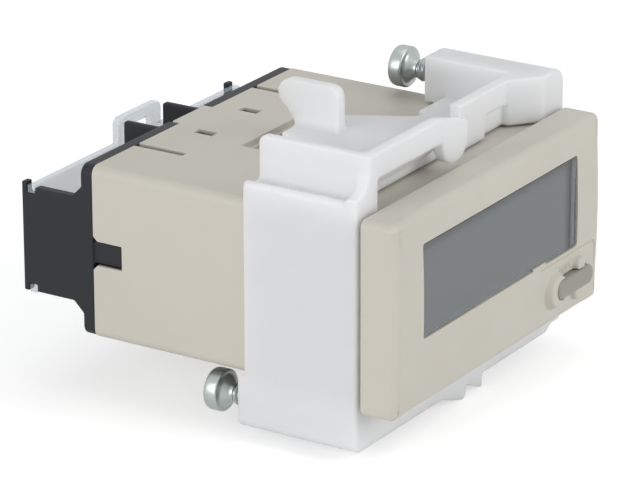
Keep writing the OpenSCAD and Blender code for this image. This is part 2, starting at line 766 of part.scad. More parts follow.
module terminal_block() {
  flange_gap = 0.1;
  plug_x = cavity_x - plug_gap;
  plug_z = cavity_z - plug_gap;
  screw_bore_y = plate_back_y - terminal_screw_len - terminal_gap;
  color([0.23, 0.235, 0.25]) difference() {
    union() {
      sweep_y(body_len, flange_back_y) round_rect(body_w, body_h - 2 * flange_gap, body_edge_r);
      sweep_y(plug_front_y, body_len) square([2 * plug_x, 2 * plug_z], center = true);
      sweep_y(flange_back_y, floor_back_y) square([body_w - cheek_t, 2 * cheek_half_h], center = true);
      for (sx = [-1, 1]) mirror([sx < 0 ? 1 : 0, 0, 0]) {
        end_cheek();
        side_latch();
        top_hook(hook_x);
        barrier(tall_x, tall_half_h);
        barrier(low_x, cheek_half_h);
      }
    }
    for (x = screw_xs)
      rod_y(x, 0, screw_bore_y, floor_back_y + cut, terminal_d + 2 * terminal_gap);
    leg_slots(plug_front_y - cut, floor_back_y + cut);
    block([-snap_lip_x - hook_gap, body_len - cut, plug_z],
          [snap_lip_x + hook_gap, flange_back_y + cut, body_z + cut]);
    sweep_y(plug_front_y - cut, floor_back_y + cut) translate([0, selector_z]) square(
      [selector_w + 2 * (selector_travel + selector_gap), selector_h + 2 * selector_gap], center = true);
  }
}

module terminal_plates() {
  color([0.8, 0.72, 0.5]) for (x = screw_xs) difference() {
    union() {
      block([x - plate_w / 2, floor_back_y, -plate_w / 2],
            [x + plate_w / 2, plate_back_y, plate_w / 2]);
      block([x - leg_w / 2, leg_end_y, leg_z - plate_t / 2],
            [x + leg_w / 2, plate_back_y, leg_z + plate_t / 2]);
    }
    rod_y(x, 0, floor_back_y - cut, plate_back_y + cut, terminal_d + 2 * terminal_gap);
  }
}

module clamp_washers() {
  washer_r = 0.8;
  color([0.74, 0.75, 0.76]) for (x = screw_xs) difference() {
    sweep_y(plate_back_y, washer_back_y) translate([x, 0]) round_rect(plate_w, plate_w, washer_r);
    rod_y(x, 0, plate_back_y - cut, washer_back_y + cut, terminal_d + 2 * terminal_gap);
  }
}

// A cross recess cut into a screw head from its outer face
module cross_recess(size, depth) {
  arm_share = 0.26;
  arm = size * arm_share;
  for (turn = [0, 90]) rotate([0, turn, 0])
    block([-size / 2, -depth, -arm / 2], [size / 2, cut, arm / 2]);
}

// The head of a pan-head screw along Y: its seat at y = 0, a rounded rim, a low dome and a cross recess
module pan_head(head_d, head_t) {
  rim_share = 0.4;
  dome_share = 0.2;
  recess_share = 0.56;
  head_r = head_d / 2;
  rim_r = head_t * rim_share;
  dome_rise = head_t * dome_share;
  dome_r = (pow(head_r, 2) + pow(dome_rise, 2)) / (2 * dome_rise);
  difference() {
    rotate([-90, 0, 0]) rotate_extrude() intersection() {
      union() {
        square([head_r - rim_r, head_t]);
        square([head_r, head_t - rim_r]);
        translate([head_r - rim_r, head_t - rim_r]) circle(rim_r);
      }
      translate([0, head_t - dome_r]) circle(dome_r);
    }
    translate([0, head_t, 0]) cross_recess(head_d * recess_share, head_t * recess_share);
  }
}

// The threaded part of a screw, from start_y down to its chamfered tip at y = -len
module shank(d, start_y, len) {
  tip_share = 0.15;
  tip = d * tip_share;
  rod_y(0, 0, tip - len, start_y, d);
  translate([0, tip - len, 0]) rotate([90, 0, 0]) cylinder(h = tip, d1 = d, d2 = d - 2 * tip);
}

module terminal_screws() {
  color([0.72, 0.73, 0.74]) for (x = screw_xs)
    translate([x, washer_back_y, 0]) {
      pan_head(terminal_head_d, terminal_head_t);
      shank(terminal_d, 0, terminal_screw_len + washer_t);
    }
}

module terminal_cover() {
  corner = 1.0;
  ear_x = body_x - cheek_t - cover_gap;
  color([0.8, 0.83, 0.85, 0.5]) sweep_y(cover_front_y, cover_back_y) difference() {
    union() {
      square([2 * ear_x, 2 * cover_half_h], center = true);
      for (sz = [-1, 1]) translate([0, sz * (cover_half_h - (notch_depth - cover_gap) / 2)])
        square([body_w, notch_depth - cover_gap], center = true);
      round_rect(2 * cover_mid_x, 2 * cover_mid_half_h, corner);
    }
    for (sz = [-1, 1]) translate([0, sz * selector_z]) round_rect(cover_hole, cover_hole, corner);
    for (x = screw_xs) translate([x, 0]) circle(d = driver_hole_d);
  }
}

module selector_body() {
  half_w = selector_w / 2 + selector_travel + selector_gap + selector_wall;
  half_h = selector_h / 2 + selector_gap + selector_wall;
  top_y = plug_front_y - selector_clear;
  color([0.15, 0.15, 0.16]) difference() {
    block([-half_w, rear_board_back, selector_z - half_h], [half_w, top_y, selector_z + half_h]);
    block([selector_wall - half_w, rear_board_back + selector_wall, selector_z - half_h + selector_wall],
          [half_w - selector_wall, top_y + cut, selector_z + half_h - selector_wall]);
  }
}

module range_selector() {
  seat_y = rear_board_back + selector_wall + selector_clear;
  color([0.85, 0.85, 0.82])
    block([-selector_w / 2, seat_y, selector_z - selector_h / 2],
          [selector_w / 2, floor_back_y + selector_len, selector_z + selector_h / 2]);
}

// The latch deck over one long side of the body, with its tapered tongue and pawl
module latch_deck(deck_front) {
  relief = 1.6;
  root_setback = 0.9;
  root_y = deck_rear - root_setback;
  relief_x = tongue_root_x + relief;
  tip_r = 1.0;
  tip_y = tongue_rear - tip_r;
  tip_x = tongue_tip_x - tip_r;
  pawl_root_z = inner_z + adapter_wall / 4;
  sweep_z(inner_z, deck_z) {
    polygon([
      [-inner_x, deck_front], [inner_x, deck_front], [inner_x, deck_rear], [relief_x, deck_rear],
      [relief_x, root_y], [tongue_root_x, root_y], [tongue_tip_x, tip_y], [tip_x, tongue_rear],
      [-tip_x, tongue_rear], [-tongue_tip_x, tip_y], [-tongue_root_x, root_y], [-relief_x, root_y],
      [-relief_x, deck_rear], [-inner_x, deck_rear]
    ]);
    for (sx = [-1, 1]) translate([sx * tip_x, tip_y]) circle(tip_r);
  }
  sweep_x(-tip_x, tip_x) polygon([
    [pawl_y - pawl_ramp, pawl_root_z], [pawl_y + pawl_ramp, pawl_tip_z],
    [pawl_y + pawl_heel, pawl_tip_z], [pawl_y + pawl_heel, pawl_root_z]
  ]);
}

// The finger tab that stands on the tongue, leaning to the rear, with fillets at its foot
module release_tab() {
  base_front = tongue_rear - tab_len;
  root_z = deck_z - adapter_wall / 3;
  top_rear = tongue_rear + tab_lean;
  top_z = deck_z + tab_rise;
  rear_r = 1.8;
  front_r = 1.4;
  foot_x = tab_thick / 2 + tab_fillet;
  sweep_x(-tab_thick / 2, tab_thick / 2) {
    polygon([
      [base_front, root_z], [tongue_rear, root_z], [tongue_rear, deck_z], [top_rear, top_z - rear_r],
      [top_rear - rear_r, top_z], [base_front + front_r, top_z], [base_front, top_z - front_r]
    ]);
    translate([top_rear - rear_r, top_z - rear_r]) circle(rear_r);
    translate([base_front + front_r, top_z - front_r]) circle(front_r);
  }
  sweep_y(base_front, tongue_rear) difference() {
    translate([-foot_x, root_z]) square([2 * foot_x, deck_z + tab_fillet - root_z]);
    for (sx = [-1, 1]) translate([sx * foot_x, deck_z + tab_fillet]) circle(tab_fillet);
  }
}

// One ear block with its rounded outer edge and its sloped step to the side wall, at the upper right
module ear(foot_front) {
  foot_len = 2.8;
  toe_len = 0.8;
  foot_x = ear_inner_x - foot_len;
  toe_x = ear_inner_x + toe_len;
  foot_rear = foot_front + bar_t;
  step = ear_rear - wall_rear;
  intersection() {
    sweep_z(inner_z, ear_half_h) polygon([
      [ear_inner_x, ear_rear], [outer_x, ear_rear], [outer_x, adapter_front], [toe_x, adapter_front],
      [foot_x, foot_front], [foot_x, foot_rear], [ear_inner_x, foot_rear]
    ]);
    sweep_y(adapter_front, ear_rear) {
      translate([0, inner_z]) square([outer_x - ear_r, ear_half_h - inner_z]);
      translate([0, inner_z]) square([outer_x, ear_half_h - inner_z - ear_r]);
      translate([outer_x - ear_r, ear_half_h - ear_r]) circle(ear_r);
    }
  }
  sweep_x(inner_x, outer_x) polygon([
    [wall_rear - step, inner_z - step], [wall_rear, inner_z - step], [ear_rear, inner_z],
    [ear_rear, inner_z + step], [wall_rear - step, inner_z + step]
  ]);
}

// The side wall with its rounded top, the filleted shoulder and the fin at the upper left
module fin_side(top_z) {
  fin_r = 1.0;
  fin_setback = 0.4;
  fin_rear = wall_rear - fin_setback;
  fillet_r = 0.9;
  bead_r = adapter_wall / 2;
  sweep_y(adapter_front, wall_rear) {
    translate([-outer_x, -inner_z]) square([adapter_wall, inner_z + shoulder_z]);
    translate([bead_r - outer_x, shoulder_z]) circle(bead_r);
    translate([-outer_x, inner_z]) square([fin_inset + adapter_wall, shoulder_z - inner_z]);
  }
  sweep_y(adapter_front, fin_rear) difference() {
    translate([-fin_x - fillet_r, inner_z]) square([fillet_r + bead_r, shoulder_z + fillet_r - inner_z]);
    translate([-fin_x - fillet_r, shoulder_z + fillet_r]) circle(fillet_r);
  }
  sweep_x(-fin_x, adapter_wall - fin_x) {
    translate([adapter_front, inner_z]) square([fin_rear - adapter_front, top_z - inner_z - fin_r]);
    translate([adapter_front, inner_z]) square([fin_rear - adapter_front - fin_r, top_z - inner_z]);
    translate([fin_rear - fin_r, top_z - fin_r]) circle(fin_r);
  }
}

// The upper left front bar, bridging over the body, with its corner pillar and its sloped round end
module upper_bar() {
  bar_h = 3.3;
  bar_low_z = bar_half_h - bar_h;
  bar_back = adapter_front + bar_t;
  web_y = 4.5;
  web_back = web_y + adapter_wall;
  lobe_r = 3.0;
  lobe_x = -1.75;
  lobe_sink = 0.2;
  lobe_z = bar_low_z - lobe_sink;
  slope_x = -5.6;
  slope_end = lobe_x + lobe_r;
  slope_drop = 1.9;
  pillar_w = 2.0;
  pillar_rise = 3.9;
  pillar_top = shoulder_z + pillar_rise;
  difference() {
    union() {
      sweep_x(-fin_x, lobe_x) polygon([
        [adapter_front, bar_low_z], [adapter_front, bar_half_h], [bar_back, bar_half_h],
        [bar_back, bar_low_z + bar_t / 2], [web_back, deck_z], [web_back, inner_z], [web_y, inner_z],
        [web_y, deck_z - adapter_wall / 6], [bar_back - bar_t / 2, bar_low_z]
      ]);
      sweep_y(adapter_front, bar_back) translate([lobe_x, lobe_z]) circle(lobe_r);
    }
    sweep_y(adapter_front - cut, web_y) polygon([
      [slope_x, bar_half_h], [slope_end, bar_half_h - slope_drop],
      [slope_end, bar_half_h + cut], [slope_x, bar_half_h + cut]
    ]);
  }
  sweep_y(adapter_front, bar_back) {
    translate([-outer_x, inner_z]) square([fin_inset + pillar_w, shoulder_z - inner_z]);
    translate([-fin_x, inner_z]) square([pillar_w, bar_half_h - inner_z]);
    difference() {
      translate([-outer_x, inner_z]) square([fin_inset, pillar_top - inner_z]);
      translate([-outer_x, pillar_top]) circle(fin_inset);
    }
  }
}

// The upper right front bar, set back, with its stepped end block
module right_bar(bar_front) {
  bar_start = 4.1;
  block_end = 10.2;
  step_rise = 2.8;
  step_z = inner_z + step_rise;
  sweep_y(bar_front, bar_front + bar_t) {
    translate([bar_start, inner_z]) square([block_end - bar_start, ear_half_h - inner_z]);
    translate([bar_start, step_z]) square([ear_inner_x - bar_start, ear_half_h - step_z]);
  }
  block([block_end, bar_front + bar_t / 2, inner_z], [ear_inner_x, bar_front + bar_t, step_z]);
}

// The lower front rail with its two wedge-shaped bumps and its low right end
module lower_rails() {
  bump_start = -4.5;
  bump_end = 1.2;
  bump_h = 1.6;
  bump_r = 0.5;
  bump_z = ear_half_h + bump_h;
  small_end = 5.1;
  small_h = 1.45;
  small_z = ear_half_h + small_h;
  strip_step = 0.2;
  rail_z = ear_half_h - strip_step;
  end_step = 1.0;
  end_z = ear_half_h - end_step;
  end_len = 2.0;
  end_x = outer_x - end_len;
  sweep_y(adapter_front, adapter_front + bar_t) mirror([0, 1]) {
    translate([-outer_x, inner_z]) square([outer_x + bump_end, ear_half_h - inner_z]);
    polygon([
      [bump_start, inner_z], [bump_start, ear_half_h], [bump_end - 2 * bump_r, bump_z],
      [bump_end - bump_r, bump_z], [bump_end, bump_z - bump_r], [bump_end, inner_z]
    ]);
    polygon([
      [bump_end, inner_z], [bump_end, ear_half_h], [small_end - bump_r, small_z],
      [small_end, small_z], [small_end, inner_z]
    ]);
    polygon([
      [small_end, inner_z], [small_end, rail_z], [fin_x - bump_r, rail_z], [end_x, end_z],
      [outer_x, end_z], [outer_x, inner_z]
    ]);
  }
}

module mounting_adapter() {
  upper_front = 4.5;
  bar_front = 3.5;
  color([0.88, 0.89, 0.91]) difference() {
    union() {
      fin_side(bar_half_h);
      rotate([0, 180, 0]) fin_side(low_fin_half_h);
      latch_deck(upper_front);
      release_tab();
      mirror([0, 0, 1]) {
        latch_deck(adapter_front);
        release_tab();
      }
      ear(bar_front);
      rotate([0, 180, 0]) ear(adapter_front);
      upper_bar();
      right_bar(bar_front);
      lower_rails();
    }
    for (turn = [0, 180]) rotate([0, turn, 0]) {
      rod_y(clamp_x, clamp_z, clamp_bore_y, ear_rear + cut, clamp_d + 2 * clamp_gap);
      translate([clamp_x, ear_rear - clamp_flare_len, clamp_z]) rotate([-90, 0, 0])
        cylinder(h = 2 * clamp_flare_len, d1 = clamp_neck_d, d2 = 2 * clamp_flare_d - clamp_neck_d);
    }
  }
}

// A clamp screw at its place in the upper right ear
module clamp_screw() {
  color([0.68, 0.71, 0.7]) translate([clamp_x, clamp_seat_y, clamp_z]) {
    pan_head(clamp_head_d, clamp_head_t);
    rod_y(0, 0, -clamp_neck_len, 0, clamp_neck_d);
    translate([0, -clamp_flare_len, 0]) rotate([-90, 0, 0])
      cylinder(h = clamp_flare_len, d1 = clamp_neck_d, d2 = clamp_flare_d);
    shank(clamp_d, -clamp_neck_len, clamp_len);
  }
}

module upper_clamp_screw() {
  clamp_screw();
}

module lower_clamp_screw() {
  rotate([0, 180, 0]) clamp_screw();
}

case();
display_window();
display_cell();
display_holder();
contact_strips();
main_board();
processor_chip();
crystal();
key_switch();
reset_key();
battery();
battery_cradle();
battery_tabs();
link_wires();
rear_board();
terminal_block();
terminal_plates();
clamp_washers();
terminal_screws();
terminal_cover();
selector_body();
range_selector();
mounting_adapter();
upper_clamp_screw();
lower_clamp_screw();
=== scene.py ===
"""Looks for a panel-mount hour meter with a sliding flush-mount adapter.

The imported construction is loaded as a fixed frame, in metres. The mouldings are copied from it with
their edges rounded the way their moulds leave them, the clamp screws get real threads, every piece
gets a procedural finish, and a small white studio is set around the part.
"""

from __future__ import annotations

import json
import logging
import math
from dataclasses import dataclass
from enum import Enum

import bmesh
import bpy
from mathutils import Matrix, Vector

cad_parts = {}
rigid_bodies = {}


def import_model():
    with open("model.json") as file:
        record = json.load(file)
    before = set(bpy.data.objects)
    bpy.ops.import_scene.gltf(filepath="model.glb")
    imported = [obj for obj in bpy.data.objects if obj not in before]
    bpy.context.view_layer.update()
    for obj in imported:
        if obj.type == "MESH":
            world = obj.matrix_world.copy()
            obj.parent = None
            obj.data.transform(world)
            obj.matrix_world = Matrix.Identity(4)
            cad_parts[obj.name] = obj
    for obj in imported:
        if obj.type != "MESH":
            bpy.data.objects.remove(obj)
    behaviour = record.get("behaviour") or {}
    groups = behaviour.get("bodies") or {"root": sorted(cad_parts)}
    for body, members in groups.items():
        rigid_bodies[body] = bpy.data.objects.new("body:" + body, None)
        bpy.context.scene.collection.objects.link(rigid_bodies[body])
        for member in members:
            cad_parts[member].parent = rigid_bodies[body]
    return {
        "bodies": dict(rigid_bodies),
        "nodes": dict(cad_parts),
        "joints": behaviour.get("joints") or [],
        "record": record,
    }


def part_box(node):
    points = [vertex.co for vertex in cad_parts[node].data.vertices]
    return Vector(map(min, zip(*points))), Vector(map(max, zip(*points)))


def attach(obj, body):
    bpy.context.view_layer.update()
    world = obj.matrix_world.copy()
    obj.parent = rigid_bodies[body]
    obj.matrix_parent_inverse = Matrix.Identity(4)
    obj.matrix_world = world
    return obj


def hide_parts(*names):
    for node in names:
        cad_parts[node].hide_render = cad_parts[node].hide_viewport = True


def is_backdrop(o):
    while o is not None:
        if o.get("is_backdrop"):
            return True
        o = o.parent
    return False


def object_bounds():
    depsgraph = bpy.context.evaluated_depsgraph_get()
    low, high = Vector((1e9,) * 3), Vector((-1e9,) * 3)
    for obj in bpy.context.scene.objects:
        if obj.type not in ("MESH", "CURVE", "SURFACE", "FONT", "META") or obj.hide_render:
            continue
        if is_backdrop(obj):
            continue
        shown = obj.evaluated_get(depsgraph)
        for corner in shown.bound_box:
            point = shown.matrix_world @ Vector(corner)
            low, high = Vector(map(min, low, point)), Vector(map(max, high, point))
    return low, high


LOG = logging.getLogger("hour_meter")
MM = 0.001
FAR = 100.0

Colour = tuple[float, float, float]
Point = tuple[float, float, float]
Span = tuple[float, float]
Outline = list[tuple[float, float]]


class Body(Enum):
    """The bodies that the pieces ride on."""

    METER = "meter"
    KEY = "key"
    ADAPTER = "adapter"
    UPPER_SCREW = "upper_screw"
    LOWER_SCREW = "lower_screw"


class Slot(Enum):
    """The record's material slots."""

    CASE = "case_plastic"
    WINDOW = "window_plastic"
    DISPLAY = "display_glass"
    WHITE = "white_plastic"
    RUBBER = "contact_rubber"
    BOARD = "board"
    COMPONENT = "component_black"
    STEEL = "plated_steel"
    KEY = "key_plastic"
    SLEEVE = "battery_sleeve"
    BLACK = "black_plastic"
    COPPER = "copper"
    BRASS = "brass_plate"
    CLEAR = "clear_plastic"
    ADAPTER = "adapter_plastic"
    ZINC = "zinc_screw"


class Clarity(Enum):
    """How a finish lets light through."""

    SOLID = "solid"
    GLASS = "glass"
    VEIL = "veil"


class Joinery(Enum):
    """How one form is worked into another."""

    CUT = "DIFFERENCE"
    ADD = "UNION"


def linear(red: float, green: float, blue: float) -> tuple[float, float, float, float]:
    """Turn a screen colour into the linear colour that a shader takes.

    Args:
        red: Red from 0 to 255.
        green: Green from 0 to 255.
        blue: Blue from 0 to 255.

    Returns:
        Linear red, green, blue and an alpha of 1.
    """
    knee, low_slope, offset, power = 0.04045, 12.92, 0.055, 2.4
    parts = []
    for part in (red / 255, green / 255, blue / 255):
        curve = ((part + offset) / (1 + offset)) ** power
        parts.append(part / low_slope if part <= knee else curve)
    return (*parts, 1.0)


class Sheet:
    """A node tree with short ways to add and join nodes."""

    def __init__(self, tree: bpy.types.NodeTree) -> None:
        """Keep the tree that the nodes go to."""
        self.tree = tree

    @classmethod
    def group(cls, name: str, kind: str, inputs: dict[str, str], outputs: dict[str, str]) -> Sheet:
        """Start a node group with named sockets.

        Args:
            name: The group's name.
            kind: The tree's type name.
            inputs: Socket types by input name.
            outputs: Socket types by output name.

        Returns:
            A sheet on the new group.
        """
        tree = bpy.data.node_groups.new(name, kind)
        for in_out, sockets in (("INPUT", inputs), ("OUTPUT", outputs)):
            for socket, socket_type in sockets.items():
                tree.interface.new_socket(socket, in_out=in_out, socket_type=socket_type)
        return cls(tree)

    def add(
        self, kind: str, values: dict[str | int, object] | None = None, **settings: object
    ) -> bpy.types.Node:
        """Add one node.

        Args:
            kind: The node's type name.
            values: Input values or sources to link, by socket name or number.
            settings: Attributes to set on the node.

        Returns:
            The new node.
        """
        node = self.tree.nodes.new(kind)
        for name, value in settings.items():
            setattr(node, name, value)
        for name, value in (values or {}).items():
            if isinstance(value, bpy.types.NodeSocket):
                self.join(value, node.inputs[name])
            else:
                node.inputs[name].default_value = value
        return node

    def math(self, operation: str, *values: float | bpy.types.NodeSocket) -> bpy.types.NodeSocket:
        """Add one sum.

        Args:
            operation: The math node's operation.
            values: Its numbers, or the sources of its numbers.

        Returns:
            The result.
        """
        return self.add("ShaderNodeMath", dict(enumerate(values)), operation=operation).outputs[0]

    def join(self, source: bpy.types.NodeSocket, target: bpy.types.NodeSocket) -> None:
        """Link an output to an input."""
        self.tree.links.new(source, target)


class Effects:
    """Shader node groups that several finishes share."""

    def __init__(self) -> None:
        """Build each group once."""
        self.grain = self._grain()
        self.drift = self._drift()
        self.polish = self._polish()

    @staticmethod
    def _grain() -> bpy.types.NodeTree:
        """Fine pitted texture of an eroded mould.

        Returns:
            A group that gives a height from a place and a scale.
        """
        sheet = Sheet.group(
            "mould_grain",
            "ShaderNodeTree",
            {"Vector": "NodeSocketVector", "Scale": "NodeSocketFloat"},
            {"Height": "NodeSocketFloat"},
        )
        start = sheet.add("NodeGroupInput").outputs
        values = {"Vector": start["Vector"], "Scale": start["Scale"], "Detail": 3.0, "Roughness": 0.65}
        pits = sheet.add("ShaderNodeTexNoise", values)
        sheet.add("NodeGroupOutput", {"Height": pits.outputs["Fac"]})
        return sheet.tree

    @staticmethod
    def _drift() -> bpy.types.NodeTree:
        """Slow change of tone across a moulding.

        Returns:
            A group that gives a colour between a light and a dark one.
        """
        sheet = Sheet.group(
            "tone_drift",
            "ShaderNodeTree",
            {
                "Vector": "NodeSocketVector",
                "Scale": "NodeSocketFloat",
                "Light": "NodeSocketColor",
                "Dark": "NodeSocketColor",
            },
            {"Color": "NodeSocketColor"},
        )
        start = sheet.add("NodeGroupInput").outputs
        values = {"Vector": start["Vector"], "Scale": start["Scale"], "Detail": 4.0, "Roughness": 0.55}
        cloud = sheet.add("ShaderNodeTexNoise", values)
        mix = sheet.add("ShaderNodeMix", data_type="RGBA")
        sheet.join(cloud.outputs["Fac"], mix.inputs["Factor"])
        colours = [socket for socket in mix.inputs if socket.type == "RGBA"]
        for source, target in zip((start["Light"], start["Dark"]), colours):
            sheet.join(source, target)
        result = next(socket for socket in mix.outputs if socket.type == "RGBA")
        sheet.add("NodeGroupOutput", {"Color": result})
        return sheet.tree

    @staticmethod
    def _polish() -> bpy.types.NodeTree:
        """Uneven gloss of a handled surface.

        Returns:
            A group that gives a roughness between two limits.
        """
        sheet = Sheet.group(
            "uneven_polish",
            "ShaderNodeTree",
            {
                "Vector": "NodeSocketVector",
                "Scale": "NodeSocketFloat",
                "Smooth": "NodeSocketFloat",
                "Rough": "NodeSocketFloat",
            },
            {"Roughness": "NodeSocketFloat"},
        )
        start = sheet.add("NodeGroupInput").outputs
        values = {"Vector": start["Vector"], "Scale": start["Scale"], "Detail": 5.0, "Roughness": 0.6}
        blotch = sheet.add("ShaderNodeTexNoise", values)
        limits = {"Value": blotch.outputs["Fac"], "To Min": start["Smooth"], "To Max": start["Rough"]}
        span = sheet.add("ShaderNodeMapRange", limits)
        sheet.add("NodeGroupOutput", {"Roughness": span.outputs["Result"]})
        return sheet.tree


@dataclass(frozen=True)
class Finish:
    """One surface finish, made of a shader and the shared effects.

    Sizes are in metres and colours are screen colours from 0 to 255.
    """

    slot: Slot
    light: Colour
    dark: Colour
    smooth: float = 0.4
    rough: float = 0.55
    grain_size: float = 0.25 * MM
    grain_depth: float = 0.01 * MM
    drift_size: float = 14 * MM
    metallic: float = 0.0
    specular: float = 0.5
    ior: float = 1.5
    subsurface: float = 0.0
    scatter: float = 1.0 * MM
    clarity: Clarity = Clarity.SOLID
    alpha: float = 1.0

    def build(self, effects: Effects) -> bpy.types.Material:
        """Make the material.

        Args:
            effects: The shared node groups.

        Returns:
            The material, with its colour, gloss and grain worked out on the object's own coordinates.
        """
        material = bpy.data.materials.new(self.slot.value)
        material.use_nodes = True
        sheet = Sheet(material.node_tree)
        shader = material.node_tree.nodes["Principled BSDF"]
        self._set_constants(shader)
        place = sheet.add("ShaderNodeTexCoord").outputs["Object"]
        tones = {"Light": linear(*self.light), "Dark": linear(*self.dark)}
        tone = sheet.add("ShaderNodeGroup", node_tree=effects.drift)
        gloss = sheet.add("ShaderNodeGroup", node_tree=effects.polish)
        for group, values in ((tone, tones), (gloss, {"Smooth": self.smooth, "Rough": self.rough})):
            sheet.join(place, group.inputs["Vector"])
            group.inputs["Scale"].default_value = 1 / self.drift_size
            for name, value in values.items():
                group.inputs[name].default_value = value
        sheet.join(tone.outputs["Color"], shader.inputs["Base Color"])
        sheet.join(gloss.outputs["Roughness"], shader.inputs["Roughness"])
        if self.grain_depth > 0:
            self._add_grain(sheet, shader, effects, place)
        if self.clarity is Clarity.GLASS:
            self._let_light_through(sheet, shader)
        return material

    def _set_constants(self, shader: bpy.types.Node) -> None:
        """Set what is the same all over the surface on the shader's own sockets.

        Args:
            shader: The shader.
        """
        constants = {
            "Metallic": self.metallic,
            "Specular IOR Level": self.specular,
            "IOR": self.ior,
            "Alpha": self.alpha,
            "Transmission Weight": 1.0 if self.clarity is Clarity.GLASS else 0.0,
            "Subsurface Weight": self.subsurface,
            "Subsurface Scale": self.scatter,
            "Subsurface Radius": (1.0, 1.0, 1.0),
        }
        for name, value in constants.items():
            shader.inputs[name].default_value = value

    def _add_grain(
        self, sheet: Sheet, shader: bpy.types.Node, effects: Effects, place: bpy.types.NodeSocket
    ) -> None:
        """Roughen the surface with the mould's grain.

        Args:
            sheet: The material's tree.
            shader: The shader that takes the new normal.
            effects: The shared node groups.
            place: The coordinates that the grain is worked out on.
        """
        grain = sheet.add("ShaderNodeGroup", node_tree=effects.grain)
        sheet.join(place, grain.inputs["Vector"])
        grain.inputs["Scale"].default_value = 1 / self.grain_size
        values = {"Strength": 1.0, "Distance": self.grain_depth, "Height": grain.outputs["Height"]}
        bump = sheet.add("ShaderNodeBump", values)
        sheet.join(bump.outputs["Normal"], shader.inputs["Normal"])

    @staticmethod
    def _let_light_through(sheet: Sheet, shader: bpy.types.Node) -> None:
        """Let the lamps shine through a pane onto what lies behind it.

        Args:
            sheet: The material's tree.
            shader: The pane's own shader.
        """
        path = sheet.add("ShaderNodeLightPath")
        clear = sheet.add("ShaderNodeBsdfTransparent")
        mix = sheet.add("ShaderNodeMixShader", {0: path.outputs["Is Shadow Ray"]})
        sheet.join(shader.outputs["BSDF"], mix.inputs[1])
        sheet.join(clear.outputs["BSDF"], mix.inputs[2])
        sheet.join(mix.outputs["Shader"], sheet.tree.nodes["Material Output"].inputs["Surface"])


FINISHES = (
    Finish(Slot.CASE, (211, 207, 196), (203, 199, 187), 0.42, 0.55),
    Finish(
        Slot.WINDOW, (252, 253, 253), (249, 251, 251), 0.04, 0.07,
        grain_depth=0, ior=1.49, clarity=Clarity.GLASS,
    ),
    Finish(Slot.DISPLAY, (174, 181, 184), (165, 172, 176), 0.3, 0.36, grain_depth=0),
    Finish(Slot.WHITE, (224, 224, 218), (218, 218, 212)),
    Finish(Slot.RUBBER, (196, 146, 132), (186, 138, 126), 0.7, 0.8),
    Finish(Slot.BOARD, (52, 104, 66), (44, 92, 58), 0.3, 0.4),
    Finish(Slot.COMPONENT, (40, 40, 42), (32, 32, 34)),
    Finish(Slot.STEEL, (206, 208, 210), (196, 198, 200), 0.25, 0.35, metallic=1.0),
    Finish(Slot.KEY, (155, 153, 140), (147, 145, 132), 0.35, 0.45),
    Finish(Slot.SLEEVE, (92, 130, 154), (86, 122, 146), 0.25, 0.35),
    Finish(Slot.BLACK, (40, 42, 46), (34, 36, 40), 0.45, 0.55, specular=0.25),
    Finish(Slot.COPPER, (196, 130, 96), (184, 118, 84), 0.3, 0.4, metallic=1.0),
    Finish(Slot.BRASS, (214, 196, 142), (204, 186, 132), 0.3, 0.4, metallic=1.0),
    Finish(
        Slot.CLEAR, (196, 210, 222), (190, 204, 216), 0.12, 0.2,
        grain_depth=0, clarity=Clarity.VEIL, alpha=0.35,
    ),
    Finish(Slot.ADAPTER, (238, 239, 241), (233, 234, 237), 0.38, 0.48, subsurface=1.0, scatter=2.5 * MM),
    Finish(Slot.ZINC, (178, 185, 183), (162, 169, 167), 0.28, 0.42, metallic=1.0, grain_depth=0.004 * MM),
)


@dataclass(frozen=True)
class Zone:
    """A box of the frame, in millimetres, and the rounding in millimetres of the sharp edges inside it."""

    low: Point
    high: Point
    width: float

    def holds(self, place: Vector) -> bool:
        """Tell whether a place in metres lies in the box."""
        return all(low <= value / MM <= high for low, value, high in zip(self.low, place, self.high))


@dataclass(frozen=True)
class Rounding:
    """How the sharp edges of a moulding are rounded: the first zone that holds an edge gives its width."""

    zones: tuple[Zone, ...]
    segments: int = 2
    sharp: float = math.radians(32)

    @classmethod
    def even(cls, width: float, segments: int = 2) -> Rounding:
        """Give every sharp edge the same rounding.

        Args:
            width: The rounding in millimetres.
            segments: Faces across the rounding.

        Returns:
            The rounding.
        """
        return cls((Zone((-FAR,) * 3, (FAR,) * 3, width),), segments)

    @property
    def widest(self) -> float:
        """The largest rounding, in metres."""
        return max(zone.width for zone in self.zones) * MM

    def share(self, edge: bmesh.types.BMEdge) -> float:
        """Work out how much of the largest rounding an edge gets.

        Args:
            edge: One edge of the moulding.

        Returns:
            A share from 0 to 1.
        """
        if len(edge.link_faces) != 2 or edge.calc_face_angle() < self.sharp:
            return 0.0
        middle = (edge.verts[0].co + edge.verts[1].co) / 2
        width = next((zone.width for zone in self.zones if zone.holds(middle)), 0.0)
        return width * MM / self.widest


